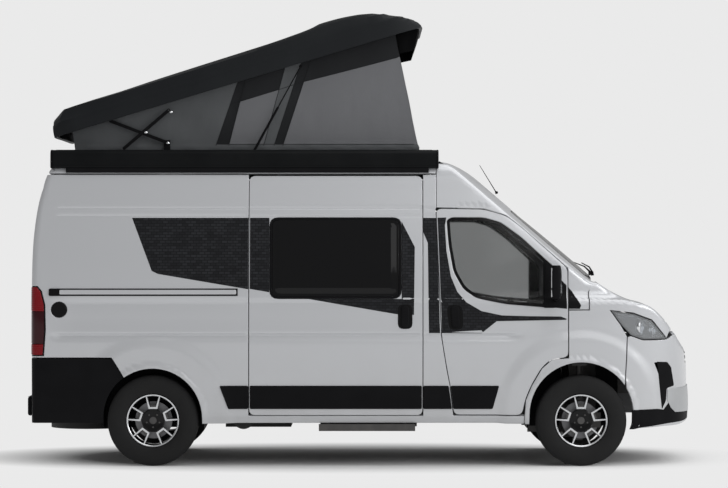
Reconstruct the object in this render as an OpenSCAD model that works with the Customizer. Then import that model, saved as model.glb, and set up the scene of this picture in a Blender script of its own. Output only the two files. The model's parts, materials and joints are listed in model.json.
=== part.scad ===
/* [Overall] */
// Distance between the front and rear axles
wheelbase = 3450; // [3000:10:4200]
// Front axle to the nose of the bumper
front_overhang = 948; // [900:1:1100]
// Rear axle to the back of the bumper step
rear_overhang = 1015; // [950:1:1300]
// Width across the side walls
body_w = 2050; // [1900:5:2250]
// Width across the door mirrors
mirrors_w = 2508; // [2400:2:2700]
// Height of the fixed roof skin
roof_z = 2475; // [2420:5:2700]

/* [Panels] */
// Thickness of the side walls and the doors
wall = 45; // [35:1:60]
// Thickness of the wings, bonnet and bumpers
skin = 25; // [15:1:35]
// Shut gap round doors and the bonnet
shut_gap = 7; // [6:0.5:10]
// Gap between pieces that fit or seat
fit_gap = 0.3; // [0.2:0.1:0.6]
// Thickness of the window panes
glass_t = 5; // [4:1:8]
// Height of the loading floor
floor_z = 535; // [500:5:600]
// Thickness of the floor with its ribs
floor_t = 55; // [40:5:80]

/* [Wheels] */
// Outer radius of the tyres
tyre_r = 366; // [340:1:385]
// Width of the tyres
tyre_w = 225; // [195:5:245]
// Radius of the rims at the tyre bead
rim_r = 215; // [190:1:230]
// Distance between the front tyre centres
front_track = 1810; // [1750:5:1850]
// Distance between the rear tyre centres
rear_track = 1790; // [1750:5:1850]
// Radius of the stub axles
stub_r = 22; // [16:1:30]
// Radius of the front wheel arches
front_arch_r = 418; // [410:1:440]
// Radius of the rear wheel arches
rear_arch_r = 398; // [394:1:430]
// Distance of the steering axis from the tyre centre
scrub = 55; // [40:1:70]
// Radius of the kingpins
kingpin_r = 12; // [8:1:16]

/* [Hinges] */
// Radius of the door hinge pins
hinge_pin_r = 5; // [4:0.5:6]
// Depth of the cab door axis below the widest skin
hinge_depth = 13; // [12:1:16]
// Distance of the cab door axis behind the door edge
hinge_setback = 30; // [28:1:40]
// Radius of the rear door and bonnet pins
lug_pin_r = 7; // [5:0.5:9]
// Distance of the rear door axis behind the rear face
rear_axis_out = 15; // [14:1:20]

/* [Pop-up roof] */
// Angle of the raised roof
raise_a = 16.8; // [12:0.1:18]
// Half width of the roof shell
shell_hw = 760; // [740:5:780]
// Thickness of the roof shell
shell_t = 30; // [20:1:40]
// Height of the shell's lower edge when it is closed
shell_z = 2562; // [2562:1:2600]
// Half width of the tent
tent_hw = 640; // [600:5:640]
// Thickness of the tent's cloth layers
tent_t = 12; // [8:1:20]
// Thickness of one scissor arm
arm_t = 11; // [8:1:11]
// Radius of the arm and strut pins
arm_pin_r = 6; // [4:0.5:8]

/* [Awning and step] */
// Height of the awning case
awning_h = 150; // [120:5:160]
// Depth of the awning case
awning_d = 115; // [100:5:130]
// Length of the entry step
step_l = 760; // [600:10:800]
// How far the step slides out
step_travel = 250; // [200:10:260]

/* [Hidden] */
$fn = 48;
fa = wheelbase / 2;             // front axle
ra = -wheelbase / 2;            // rear axle
mid_x = (rear_overhang - front_overhang) / 2;
hw = body_w / 2;
far = 4000;                     // longer than anything that it cuts
rear_x = ra - 981;              // rear face of the doors
door_front_x = fa - 108;        // front edge of the cab doors
pillar_x = fa - 1167;           // seam between load space and cab roof
roof_seam_z = 2356;
cab_gutter_z = 2078;
step_x = 0;
step_z = 305;
step_t = 20;
axle_z = tyre_r;
front_arch_z = axle_z + 54;
rear_arch_z = axle_z + 24;
cab_axis = [door_front_x - hinge_setback, hw - hinge_depth];
rear_edge_y = hw - 130;         // side edge of the rear doors
rear_top_z = roof_seam_z - shut_gap;
rear_sill_z = 560;
rear_axis = [rear_x - rear_axis_out, rear_edge_y + 10];
rear_pillar_y = rear_edge_y + 35;  // body strip between door and lamp
rear_hinge_z = [700, 1530];
cab_hinge_z = [945, 1190];
bonnet_hinge_y = [-560, 560];
bonnet_axis = [fa + 160, 1444];
king_y = front_track / 2 - scrub;
raise_c = [ra - 1133, 2560];    // centre that the roof turns about
frame_top_z = shell_z - 6;
arm_y = tent_hw + 20;           // inner face of the lower arms
lower_pin = [ra + 92, 2618];
lower_arm_l = 495;
lower_arm_a = 20.8;
upper_pin = [ra + 146, 2510];   // with the roof closed
upper_arm_l = 478;
upper_arm_a = 40.6;
strut_pin = [ra + 788, 2522];
strut_l = 819;
strut_a = 61.2;
barrel_l = 440;
strut_y = tent_hw + 34;
wheel_at = [[fa, front_track / 2], [ra, rear_track / 2]];

body_grey = [0.72, 0.73, 0.74];
trim_black = [0.09, 0.09, 0.1];
glass_grey = [0.25, 0.28, 0.3, 0.7];
steel_grey = [0.45, 0.46, 0.48];
shell_grey = [0.2, 0.21, 0.22];

// ---- helpers ----

// Moves a piece from the wheelbase frame to the van's own origin
module place() translate([mid_x, 0, 0]) children();
// Extrudes a side view between two places across the van
module along_y(a, b) translate([0, b, 0]) rotate([90, 0, 0]) linear_extrude(b - a) children();
// Extrudes a front view (y, z) between two places along the van
module along_x(a, b) translate([a, 0, 0]) rotate([90, 0, 90]) linear_extrude(b - a) children();
// Extrudes a plan between two heights
module along_z(a, b) translate([0, 0, a]) linear_extrude(b - a) children();
// The right side as drawn, and its mirror image
module both() {
    children();
    mirror([0, 1, 0]) children();
}
// Draws on the right side (-y), or on the left when left is true
module side(left) mirror([0, left ? 1 : 0, 0]) children();
// Box between two corners
module block(a, b) translate(a) cube(b - a);
// Rod along Y at a place in the side view
module rod_y(at, r, a, b) translate([at[0], b, at[1]]) rotate([90, 0, 0]) cylinder(r = r, h = b - a);

function mirrored(pts) = concat(pts, [for (i = [len(pts) - 1:-1:0]) [pts[i][0], -pts[i][1]]]);
function half_section() = [
    [346, hw - 50], [415, hw - 27], [560, hw - 11], [700, hw - 4], [1040, hw], [1200, hw],
    [1330, hw - 6], [1600, hw - 21], [1800, hw - 41], [2000, hw - 65], [2200, hw - 95],
    [2350, hw - 120], [roof_z - 55, hw - 155], [roof_z - 17, hw - 225], [roof_z, hw - 375]];

// ---- outlines of the body ----

module section_outline() polygon([for (p = mirrored(half_section())) [p[1], p[0]]]);
module body_side() polygon([
    [rear_x, 346], [rear_x, 1470], [rear_x + 26, 1900], [rear_x + 69, 2163],
    [rear_x + 147, 2395], [rear_x + 215, 2450], [rear_x + 320, roof_z], [fa - 1175, roof_z],
    [fa - 1045, roof_z - 30], [fa - 820, 2353], [fa - 675, 2224], [fa - 482, 2055],
    [fa - 160, 1814], [fa + 120, 1550], [fa + 140, 1469], [fa + 385, 1340], [fa + 563, 1284],
    [fa + 659, 1203], [fa + 755, 1091], [fa + 829, 985], [fa + 894, 903], [fa + 915, 790],
    [fa + 926, 587], [fa + front_overhang, 544], [fa + front_overhang, 425],
    [fa + 910, 319], [fa + 818, 286], [fa + 401, 310], [fa + 380, 346]]);
module body_plan() polygon(mirrored([
    [rear_x, hw - 125], [rear_x + 10, hw - 50], [rear_x + 46, hw - 10], [rear_x + 106, hw],
    [fa - 225, hw], [fa, hw - 4], [fa + 225, hw - 17], [fa + 375, hw - 40],
    [fa + 525, hw - 80], [fa + 655, hw - 135], [fa + 755, hw - 210], [fa + 835, hw - 325],
    [fa + 895, hw - 505], [fa + 935, hw - 745], [fa + front_overhang, hw - 960]]));
module cab_plan() polygon(mirrored([
    [rear_x, hw], [fa - 1100, hw], [fa - 600, hw - 14], [fa - 200, hw - 48],
    [fa + 140, hw - 120], [fa + front_overhang, hw - 400]]));
// Bow of the windscreen across the van, in its own slope
module screen_bow() polygon(concat([[-far, -hw], [-far, hw]],
    [for (k = [10:-1:-10]) [-screen_bow_d * pow(k / 10, 2), hw * k / 10]]));
screen_bow_d = 105;             // how far its sides fall back
screen_top = [fa - 482, 2055];
screen_foot = [fa + 120, 1550];
screen_a = atan2(screen_top[1] - screen_foot[1], screen_foot[0] - screen_top[0]);
// Frame whose X points out of the windscreen and whose Z runs up its slope
module screen_frame() translate([screen_foot[0], 0, screen_foot[1]])
    rotate([0, screen_a - 90, 0]) children();

// The outer shape of the body, or the same shape d further in
module hull_solid(d = 0) intersection() {
    along_y(-far, far) offset(delta = -d) body_side();
    along_x(-far, far) offset(delta = -d) section_outline();
    along_z(0, far) offset(delta = -d) body_plan();
    union() {
        block([-far, -far, 0], [far, far, 1345 - d]);
        along_z(1345 - d - 1, far) offset(delta = -d) cab_plan();
    }
    union() {
        screen_frame() translate([-d, 0, 0]) along_z(-400, 1600) screen_bow();
        block([-far, -far, 0], [far, far, 1480 - d]);
        block([-far, -far, 0], [fa - 1175, far, far]);
    }
}
// Skin of the body between two depths
module shell_skin(outer, inner) difference() {
    hull_solid(outer);
    hull_solid(inner);
}

module arch_outline(at, z, r) {
    translate([at, z]) circle(r = r, $fn = 96);
    translate([at - r, 0]) square([2 * r, z]);
}
module arches_outline() {
    arch_outline(fa, front_arch_z, front_arch_r);
    arch_outline(ra, rear_arch_z, rear_arch_r);
}
module cab_door_outline() polygon([
    [fa - 1167, cab_gutter_z], [fa - 784, 2070], [fa - 599, 2014], [fa - 476, 1921],
    [fa - 275, 1741], [fa - 107, 1590], [door_front_x, 1567], [door_front_x, 879],
    [fa - 246, 864], [fa - 326, 792], [fa - 406, 655], [fa - 455, 535], [fa - 479, 415],
    [fa - 1025, 415], [fa - 1055, 655], [fa - 1079, 776], [fa - 1122, 1037]]);
module cab_window_outline() offset(r = 30) offset(delta = -30) polygon([
    [fa - 1083, 1983], [fa - 1044, 2006], [fa - 783, 2006], [fa - 644, 1967],
    [fa - 476, 1844], [fa - 275, 1659], [fa - 205, 1596], [fa - 205, 1280],
    [fa - 229, 1275], [fa - 599, 1306], [fa - 845, 1352], [fa - 952, 1429],
    [fa - 1029, 1567], [fa - 1067, 1782]]);
slide_door = [ra + 776, fa - 1278];
module sliding_door_outline() polygon([
    [slide_door[0], 410], [slide_door[1], 410], [slide_door[1], 2340], [slide_door[0], 2340]]);
side_window = [slide_door[0] + 165, slide_door[1] - 170];
module side_window_outline() translate([side_window[0] + 50, 1399])
    offset(r = 50) square([side_window[1] - side_window[0] - 100, 554]);
module headlight_outline() polygon([
    [fa + 237, 1253], [fa + 421, 1228], [fa + 575, 1171], [fa + 700, 1023],
    [fa + 606, 1018], [fa + 503, 1018], [fa + 401, 1053], [fa + 328, 1130]]);
module rear_door_outline() polygon([
    [0, rear_sill_z], [rear_edge_y, rear_sill_z], [rear_edge_y, 1500],
    [rear_edge_y - 14, 1900], [rear_edge_y - 60, 2250], [rear_edge_y - 90, rear_top_z],
    [0, rear_top_z]]);
module rear_window_outline() translate([130, 1430]) offset(r = 60)
    polygon([[0, 0], [600, 0], [590, 250], [560, 480], [0, 480]]);
// Bonnet seen from above
bonnet_hw = hw - 245;
module bonnet_plan() polygon(mirrored([
    [fa + 150, bonnet_hw - 40], [fa + 380, bonnet_hw], [fa + 560, bonnet_hw - 20],
    [fa + 850, bonnet_hw - 110]]));
bonnet_lip_z = 1085;
module bumper_side() polygon([
    [fa + 355, 200], [fa + 355, 700], [fa + 376, 1040], [fa + 401, 1053 - shut_gap],
    [fa + 503, 1018 - shut_gap], [far, 1018 - shut_gap], [far, 200]]);
module rear_bumper_side() polygon([
    [-far, 200], [-far, 869], [ra - 327, 869], [ra - 224, 756], [ra - 224, 200]]);
module tail_light_side() translate([rear_x, 0]) offset(r = 15) polygon([
    [-50, 890], [110, 890], [125, 1100], [120, 1300], [90, 1420], [60, 1448], [-50, 1450]]);

// ---- fixed body ----

module rear_cut(grow = 0) along_x(-far, rear_x + 220)
    offset(delta = grow) union() {
        rear_door_outline();
        mirror([1, 0]) rear_door_outline();
    }
module side_wall(left) color(body_grey) place() {
    side_wall_panel(left);
    // lugs and pins of the rear door
    for (z = rear_hinge_z) {
        translate([rear_axis[0], -rear_axis[1], z - 30]) cylinder(r = lug_pin_r, h = 60);
        for (s = [-30, 12])
            block([rear_axis[0] - lug_pin_r, -rear_axis[1] - lug_pin_r, z + s],
                [rear_x + 12, -rear_axis[1] + 3, z + s + 18]);
    }
}
// The space between the sills
sill_in = hw - 130;
module sill_hollow() block([rear_x + 50, -sill_in, 0], [fa + 352, sill_in, 470]);
module side_wall_panel(left) difference() {
    union() {
        intersection() {
            shell_skin(0, wall);
            along_y(-far, -600) polygon([
                [-far, 0], [pillar_x + 330, 0], [pillar_x + 330, 600], [pillar_x + 220, 900],
                [pillar_x, cab_gutter_z], [pillar_x, roof_seam_z], [-far, roof_seam_z]]);
        }
        // sill under the cab door
        intersection() {
            shell_skin(0, wall);
            block([pillar_x, -far, 300], [fa - 440, -600, 409]);
        }
    }
    sill_hollow();
    along_y(-far, far) arches_outline();
    along_y(-far, -rear_pillar_y) offset(delta = shut_gap) rear_bumper_side();
    along_y(-far, far) intersection() {
        offset(delta = shut_gap) rear_bumper_side();
        translate([-far, 0]) square([far, rear_sill_z]);
    }
    along_y(-far, far) offset(delta = shut_gap) cab_door_outline();
    if (!left) along_y(-far, far) offset(delta = shut_gap) sliding_door_outline();
    if (left) along_y(-far, far) side_window_outline();
    along_y(-far, -rear_pillar_y) offset(delta = fit_gap) tail_light_side();
    rear_cut(shut_gap);
}
module side_wall_left() mirror([0, 1, 0]) side_wall(true);
module side_wall_right() side_wall(false);

roof_hole = [ra - 560, fa - 1500];
roof_hole_hw = 560;
module high_roof() color(body_grey) place() difference() {
    intersection() {
        shell_skin(0, wall);
        block([-far, -far, roof_seam_z], [pillar_x, far, far]);
    }
    block([roof_hole[0], -roof_hole_hw, 0], [roof_hole[1], roof_hole_hw, far]);
}

// Opening of the windscreen, drawn across (y) and up its slope
module screen_outline() polygon([
    [-790, -60], [790, -60], [775, 300], [700, 830], [-700, 830], [-775, 300]]);
module screen_cut(grow) screen_frame() rotate([90, 0, 90])
    translate([0, 0, -260]) linear_extrude(500) offset(r = 40) offset(delta = grow - 40) screen_outline();
pillar_foot = [fa - 85, fa - 25];
scuttle_hw = hw - 290;
module cab_frame() color(body_grey) place() {
    difference() {
        intersection() {
            shell_skin(0, wall);
            along_y(-far, far) polygon([
                [pillar_x, cab_gutter_z], [pillar_x + 45, 1500], [door_front_x - 100, 1320],
                [door_front_x + shut_gap, 1262], [fa + 60, 1262], [fa + 60, 1400],
                [fa + 128, 1475], [fa + 128, far], [pillar_x, far]]);
        }
        along_y(-far, far) offset(delta = shut_gap) cab_door_outline();
        screen_cut(0);
    }
    both() {
        // hinge pillar with the pins of the cab door on their arms
        difference() {
            block([pillar_foot[0], -hw + 70, 880], [pillar_foot[1], -hw + 125, 1330]);
            along_y(-far, far) arch_outline(fa, front_arch_z, front_arch_r + 20);
        }
        for (z = cab_hinge_z) {
            translate([cab_axis[0], -cab_axis[1], z - 25]) cylinder(r = hinge_pin_r, h = 50);
            translate([cab_axis[0], -cab_axis[1], z - 5]) {
                rotate(74) translate([0, -hinge_pin_r, 0]) cube([88, 2 * hinge_pin_r, 10]);
                translate([19, 80, 0]) cube([60, 2 * hinge_pin_r, 10]);
            }
        }
    }
    // bulkhead between the cab and the engine bay
    block([pillar_foot[1], -hw + 70, 880], [pillar_foot[1] + 12, hw - 70, 1330]);
    // scuttle with the brackets of the bonnet pins
    difference() {
        intersection() {
            hull_solid(skin / 2);
            block([pillar_foot[1] + 12, -scuttle_hw, 1290], [fa + 150 - 14, scuttle_hw, 1410]);
        }
        screen_cut(0);
    }
    for (y = bonnet_hinge_y) {
        rod_y([bonnet_axis[0], bonnet_axis[1]], lug_pin_r, y - 22, y + 22);
        for (s = [-22, 10]) along_y(y + s, y + s + 12) {
            translate(bonnet_axis) circle(r = lug_pin_r);
            polygon([bonnet_axis + [-7, 0], bonnet_axis + [7, 0], [fa + 130, 1360], [fa + 108, 1380]]);
        }
    }
}

floor_hw = hw - wall - 20.5;
module floor_pan() color(trim_black) place() {
    difference() {
        along_z(floor_z - floor_t, floor_z) polygon(mirrored([
            [rear_x + 60, hw - 140], [ra - 480, floor_hw], [fa - 520, floor_hw],
            [fa - 440, 560], [fa - 60, 560]]));
        both() along_y(-far, -rear_track / 2 + 150)
            offset(delta = 12 + fit_gap) arches_outline();
    }
    // chassis rails
    both() block([rear_x + 80, -520, floor_z - floor_t - 110], [fa - 500, -450, floor_z - floor_t]);
    // runners of the entry step, cut out round the sill
    for (x = [step_x - 320, step_x + 300]) difference() {
        block([x, -hw + 45, step_z - 15], [x + 20, -500, floor_z - floor_t]);
        block([x - 1, -far, step_z - fit_gap], [x + 21, -540, step_z + step_t + fit_gap]);
        block([x - 1, -far, 346 - fit_gap], [x + 21, -sill_in + fit_gap, far]);
    }
    block([step_x - 320, -525, step_z], [step_x + 320, -510, floor_z - floor_t]);
}
house_out = hw - 131;             // outer edge of the wheel houses
module wheel_houses() color(trim_black) place() both() {
    // rear, with a way out for the axle
    difference() {
        along_y(-house_out, -rear_track / 2 + 140)
            arch_outline(ra, rear_arch_z, rear_arch_r + 12);
        along_y(-far, -rear_track / 2 + 128)
            arch_outline(ra, rear_arch_z, rear_arch_r + 4);
        block([-far, -far, -far], [far, 0, 300]);
        block([ra - 60, -rear_track / 2, 0], [ra + 60, -rear_track / 2 + 150, axle_z + 60]);
    }
    // front
    difference() {
        union() {
            along_y(-house_out, -574) arch_outline(fa, front_arch_z, front_arch_r + 14);
            // the front of the liner runs out to the wing
            intersection() {
                along_y(-far, -574) arch_outline(fa, front_arch_z, front_arch_r + 14);
                hull_solid(skin + fit_gap);
                block([fa - 40, -far, 0], [far, 0, far]);
            }
        }
        along_y(-far, -586) arch_outline(fa, front_arch_z, front_arch_r + 4);
        block([-far, -far, -far], [far, 0, 300]);
        block([fa + 330, -far, 0], [far, 0, far]);
        block([fa - 150, -590, 0], [fa + 150, -500, 832]);
    }
}

module front_wings() color(body_grey) place() both() difference() {
    intersection() {
        shell_skin(0, skin);
        along_y(-far, -500) polygon([
            [door_front_x + shut_gap, 1255], [door_front_x + shut_gap, 830],
            [fa - 390, 700], [fa - 455, 409], [fa - 455, 300], [fa + 348, 300],
            [fa + 348, 700], [fa + 369, 1047], [fa + 400, 1060], [fa + 760, 1060],
            [fa + 760, 1400], [fa + 128, 1430], [fa + 128, 1468], [fa + 67, 1400],
            [fa + 67, 1255]]);
    }
    along_y(-far, far) arches_outline();
    along_y(-far, far) offset(delta = shut_gap) cab_door_outline();
    along_y(-far, far) offset(delta = fit_gap) headlight_outline();
    along_z(1000, far) offset(delta = shut_gap) bonnet_plan();
    block([fa - 440 - 100, -far, 0], [fa - 440, far, 410]);
    sill_hollow();
    screen_cut(0);
    block([fa + 600 - shut_gap, -nose_hw - shut_gap, 0], [far, 0, bonnet_lip_z]);
}

module bonnet_region() difference() {
    along_z(bonnet_lip_z, 1466) bonnet_plan();
    along_y(-far, far) polygon([[fa + 700, 0], [fa + 700, bonnet_lip_z], [far, bonnet_lip_z], [far, 0]]);
}
module bonnet() color(body_grey) place() {
    difference() {
        intersection() {
            shell_skin(0, skin);
            bonnet_region();
        }
        both() along_y(-far, -500) offset(delta = shut_gap) headlight_outline();
        for (y = bonnet_hinge_y) rod_y(bonnet_axis, lug_pin_r + 12, y - 27, y + 27);
    }
    for (y = bonnet_hinge_y) difference() {
        intersection() {
            along_y(y - 9, y + 9) hull() {
                translate(bonnet_axis) circle(r = lug_pin_r + 6);
                translate(bonnet_axis + [60, -15]) circle(r = 10);
                translate(bonnet_axis + [60, 10]) circle(r = 10);
            }
            hull_solid(0);
        }
        rod_y(bonnet_axis, lug_pin_r + fit_gap, y - 60, y + 60);
    }
}

nose_hw = bonnet_hw - 20;
grille_z = [800, 1010];
grille_hw = 560;
module front_bumper() color(body_grey) place() difference() {
    union() {
        intersection() {
            shell_skin(0, skin);
            along_y(-far, far) bumper_side();
        }
        // nose panel between the headlights
        intersection() {
            shell_skin(0, skin);
            block([fa + 600, -nose_hw, 1000], [far, nose_hw, bonnet_lip_z - shut_gap]);
        }
    }
    along_y(-far, far) arch_outline(fa, front_arch_z, front_arch_r);
    along_x(fa, far) translate([-grille_hw, grille_z[0]])
        square([2 * grille_hw, grille_z[1] - grille_z[0]]);
    both() along_y(-far, -500) offset(delta = fit_gap) headlight_outline();
    // lower air intake
    block([fa + 850, -400, 470], [far, 400, 640]);
}
// Beam between the side members and the bumper, bored for the towing eye
module crash_beam() color(steel_grey) place() difference() {
    union() {
        block([fa + 800, -480, 560], [fa + 850, 480, 640]);
        intersection() {
            for (y = [-420, 380]) block([fa + 700 + fit_gap, y, 575], [far, y + 40, 625]);
            hull_solid(skin + fit_gap);
        }
    }
    translate([fa + 780, 300, 600]) rotate([0, 90, 0]) cylinder(r = 8, h = 300);
}
module grille() color(trim_black) place() intersection() {
    shell_skin(6, 22);
    union() {
        for (k = [0:4]) along_x(fa, far) translate([-grille_hw + fit_gap, grille_z[0] + fit_gap + k * 47])
            square([2 * (grille_hw - fit_gap), k == 4 ? 21 : 26]);
        for (y = [-grille_hw + fit_gap, -180, 160, grille_hw - 20 - fit_gap])
            along_x(fa, far) translate([y, grille_z[0] + fit_gap])
                square([20, grille_z[1] - grille_z[0] - 2 * fit_gap]);
    }
}
module headlights() color([0.85, 0.88, 0.9]) place() both() intersection() {
    shell_skin(0, 110);
    along_y(-far, -540) headlight_outline();
}
module windscreen() color(glass_grey) place() intersection() {
    shell_skin(8, 8 + glass_t);
    screen_cut(-fit_gap);
}
module rear_bumper() color(trim_black) place() {
    difference() {
        intersection() {
            shell_skin(0, skin);
            along_y(-far, far) rear_bumper_side();
        }
        along_y(-far, far) arch_outline(ra, rear_arch_z, rear_arch_r);
        rear_cut(shut_gap);
        block([-far, -rear_pillar_y, rear_sill_z - shut_gap], [far, rear_pillar_y, far]);
        sill_hollow();
    }
    // step under the rear doors
    difference() {
        block([ra - rear_overhang, -hw + 150, 400], [rear_x, hw - 150, rear_sill_z - shut_gap]);
        block([ra - rear_overhang - 1, -260, 430], [ra - rear_overhang + 8, 260, 540]);
    }
}
module tail_lights() color([0.35, 0.03, 0.05]) place() both() intersection() {
    difference() {
        shell_skin(0, 60);
        rear_cut(shut_gap);
    }
    along_y(-far, -rear_pillar_y) tail_light_side();
}
module sliding_door() color(body_grey) place() {
    difference() {
        intersection() {
            shell_skin(0, wall);
            along_y(-far, -600) sliding_door_outline();
        }
        along_y(-far, far) side_window_outline();
    }
    // guide roller arms behind the wall
    for (z = [700, 1700]) intersection() {
        shell_skin(wall, wall + 12);
        block([slide_door[0] - 60, -far, z], [slide_door[0] + 80, -600, z + 40]);
    }
}
module side_windows() color(trim_black) place() both() {
    // acrylic flap on its frame
    intersection() {
        shell_skin(8, 30);
        along_y(-far, -600) offset(delta = -fit_gap) side_window_outline();
    }
}
module door_rail() color(trim_black) place() intersection() {
    shell_skin(-12, 0);
    block([ra - 783, -far, 1367], [slide_door[0] - 88, 0, 1435]);
}

// ---- roof ----

awning_x = [ra - 833, pillar_x + 21];
module awning() color(trim_black) place() difference() {
    union() {
        along_x(awning_x[0], awning_x[1]) translate([-hw + 100, 2402]) offset(r = 20)
            translate([20, 20]) square([awning_d - 40, awning_h - 40]);
        // adapter strip on the roof edge
        block([awning_x[0] + 124, -hw + 108, 2362], [awning_x[1] - 77, -hw + 130, 2420]);
    }
    hull_solid(0);
}
frame_x = [ra - 805, fa - 1195];
tent_x = [ra - 662, fa - 1296];
module roof_frame() color(trim_black) place() {
    // outer ring under the edge of the shell
    difference() {
        block([frame_x[0], -shell_hw + 2, roof_z], [frame_x[1], shell_hw - 2, frame_top_z]);
        block([frame_x[0] + 50, -shell_hw + 54, 0], [frame_x[1] - 50, shell_hw - 54, far]);
    }
    // inner ring that holds the tent
    difference() {
        block([tent_x[0] - 14, -tent_hw - 5, roof_z], [tent_x[1] + 14, tent_hw + 5, frame_top_z]);
        block([tent_x[0] + 40, -tent_hw + 50, 0], [tent_x[1] - 40, tent_hw - 50, far]);
    }
    both() {
        block([lower_pin[0] - 25, -arm_y + fit_gap, roof_z], [lower_pin[0] + 25, -tent_hw - 4, lower_pin[1] + 20]);
        rod_y(lower_pin, arm_pin_r, -arm_y - arm_t, -arm_y + 1);
        block([strut_pin[0] - 20, -strut_y + 6 + fit_gap, roof_z], [strut_pin[0] + 20, -tent_hw - 4, strut_pin[1] + 18]);
        rod_y(strut_pin, arm_pin_r, -strut_y - 6, -strut_y + 7);
    }
}
// A side view point of the closed shell, turned up with the roof
function up(p) = [
    raise_c[0] + (p[0] - raise_c[0]) * cos(raise_a) - (p[1] - raise_c[1]) * sin(raise_a),
    raise_c[1] + (p[0] - raise_c[0]) * sin(raise_a) + (p[1] - raise_c[1]) * cos(raise_a)];
module raised() translate([raise_c[0], 0, raise_c[1]]) rotate([0, -raise_a, 0])
    translate([-raise_c[0], 0, -raise_c[1]]) children();

tent_top_z = shell_z + 38;
module roof_tent() color([0.4, 0.41, 0.42]) place() difference() {
    along_y(-tent_hw, tent_hw) polygon([
        [tent_x[0], frame_top_z], [tent_x[1], frame_top_z],
        up([tent_x[1] - 51, tent_top_z]), up([tent_x[0] + 7, tent_top_z])]);
    along_y(-tent_hw + tent_t, tent_hw - tent_t) polygon([
        [tent_x[0] + tent_t, frame_top_z - 50], [tent_x[1] - tent_t, frame_top_z - 50],
        up([tent_x[1] - 51 - tent_t, tent_top_z + 60]), up([tent_x[0] + 7 + tent_t, tent_top_z + 60])]);
}
module shell_side() polygon([
    [ra - 818, shell_z], [ra - 818, shell_z + 28], [ra - 775, 2700], [ra - 708, 2754],
    [fa - 1982, 2828], [fa - 1938, 2850], [fa - 1758, 2846], [fa - 1478, 2787],
    [fa - 1216, 2666], [fa - 1118, 2594], [fa - 1111, 2563], [fa - 1125, 2500],
    [fa - 1180, 2495], [fa - 1185, shell_z]]);
module shell_section() polygon([for (p = mirrored([
    [2400, shell_hw], [2650, shell_hw], [2720, shell_hw - 15], [2790, shell_hw - 50],
    [2835, shell_hw - 130], [2860, shell_hw - 330]])) [p[1], p[0]]]);
module shell_plan() polygon(mirrored([
    [ra - 818, shell_hw - 90], [ra - 800, shell_hw - 25], [ra - 760, shell_hw],
    [fa - 1480, shell_hw], [fa - 1300, shell_hw - 22], [fa - 1180, shell_hw - 70],
    [fa - 1125, shell_hw - 140], [fa - 1111, shell_hw - 260]]));
module roof_shell() color(shell_grey) place() raised() {
    difference() {
        intersection() {
            along_y(-far, far) shell_side();
            along_x(-far, far) shell_section();
            along_z(0, far) shell_plan();
        }
        intersection() {
            along_y(-far, far) union() {
                offset(delta = -shell_t) shell_side();
                polygon([[ra - 818 + shell_t, 2400], [fa - 1185, 2400], [fa - 1185, shell_z + 45],
                    [ra - 818 + shell_t + 12, shell_z + 45]]);
            }
            along_x(-far, far) offset(delta = -shell_t) shell_section();
            along_z(0, far) offset(delta = -shell_t) shell_plan();
        }
    }
    strut_top = up_inverse([strut_pin[0] + strut_l * cos(strut_a), strut_pin[1] + strut_l * sin(strut_a)]);
    both() {
        block([upper_pin[0] - 25, -shell_hw + shell_t - 5, shell_z + 10],
            [upper_pin[0] + 25, -arm_y - 2 * arm_t - 1, shell_z + 40]);
        block([upper_pin[0] - 20, -arm_y - 2 * arm_t - 12, upper_pin[1] - 12],
            [upper_pin[0] + 20, -arm_y - 2 * arm_t - 1, shell_z + 40]);
        rod_y(upper_pin, arm_pin_r, -arm_y - 2 * arm_t - 2, -arm_y - arm_t - fit_gap);
        block([strut_top[0] - 25, -shell_hw + shell_t - 5, shell_z + 10],
            [strut_top[0] + 25, -strut_y - 7, shell_z + 40]);
        block([strut_top[0] - 16, -strut_y - 18, strut_top[1] - 14],
            [strut_top[0] + 16, -strut_y - 7, shell_z + 40]);
    }
}
function up_inverse(p) = [
    raise_c[0] + (p[0] - raise_c[0]) * cos(raise_a) + (p[1] - raise_c[1]) * sin(raise_a),
    raise_c[1] - (p[0] - raise_c[0]) * sin(raise_a) + (p[1] - raise_c[1]) * cos(raise_a)];
// Flat bar from a pin, with a bore at the pin
module arm(at, a, l, y) difference() {
    along_y(y, y + arm_t) translate(at) rotate(a) hull() {
        circle(r = 13);
        translate([l, 0]) circle(r = 13);
    }
    rod_y(at, arm_pin_r + fit_gap, y - 1, y + arm_t + 1);
}
module lower_arms() color(trim_black) place() both()
    arm(lower_pin, 180 - lower_arm_a, lower_arm_l, -arm_y - arm_t);
module upper_arms() color(trim_black) place() both()
    arm(up(upper_pin), 180 + upper_arm_a, upper_arm_l,
        -arm_y - 2 * arm_t - fit_gap);
// Runs along a strut from its base pin
module along_strut() translate([strut_pin[0], -strut_y, strut_pin[1]]) rotate([0, 90 - strut_a, 0])
    children();
module strut_barrels() color(steel_grey) place() both() difference() {
    union() {
        along_strut() translate([0, 0, 34]) cylinder(r = 10, h = barrel_l - 34);
        rod_y(strut_pin, 14, -strut_y - 6, -strut_y + 6);
        along_strut() translate([0, 0, 10]) cylinder(r = 5, h = 30);
    }
    rod_y(strut_pin, arm_pin_r + fit_gap, -strut_y - 7, -strut_y + 7);
    along_strut() translate([0, 0, 60]) cylinder(r = 5 + fit_gap, h = barrel_l);
}
module strut_rods() color([0.8, 0.8, 0.82]) place() both() along_strut() {
    translate([0, 0, strut_l - 400]) cylinder(r = 5, h = 395);
    translate([0, 6, strut_l]) rotate([90, 0, 0]) cylinder(r = 13, h = 12);
}

// ---- cab ----

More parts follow.
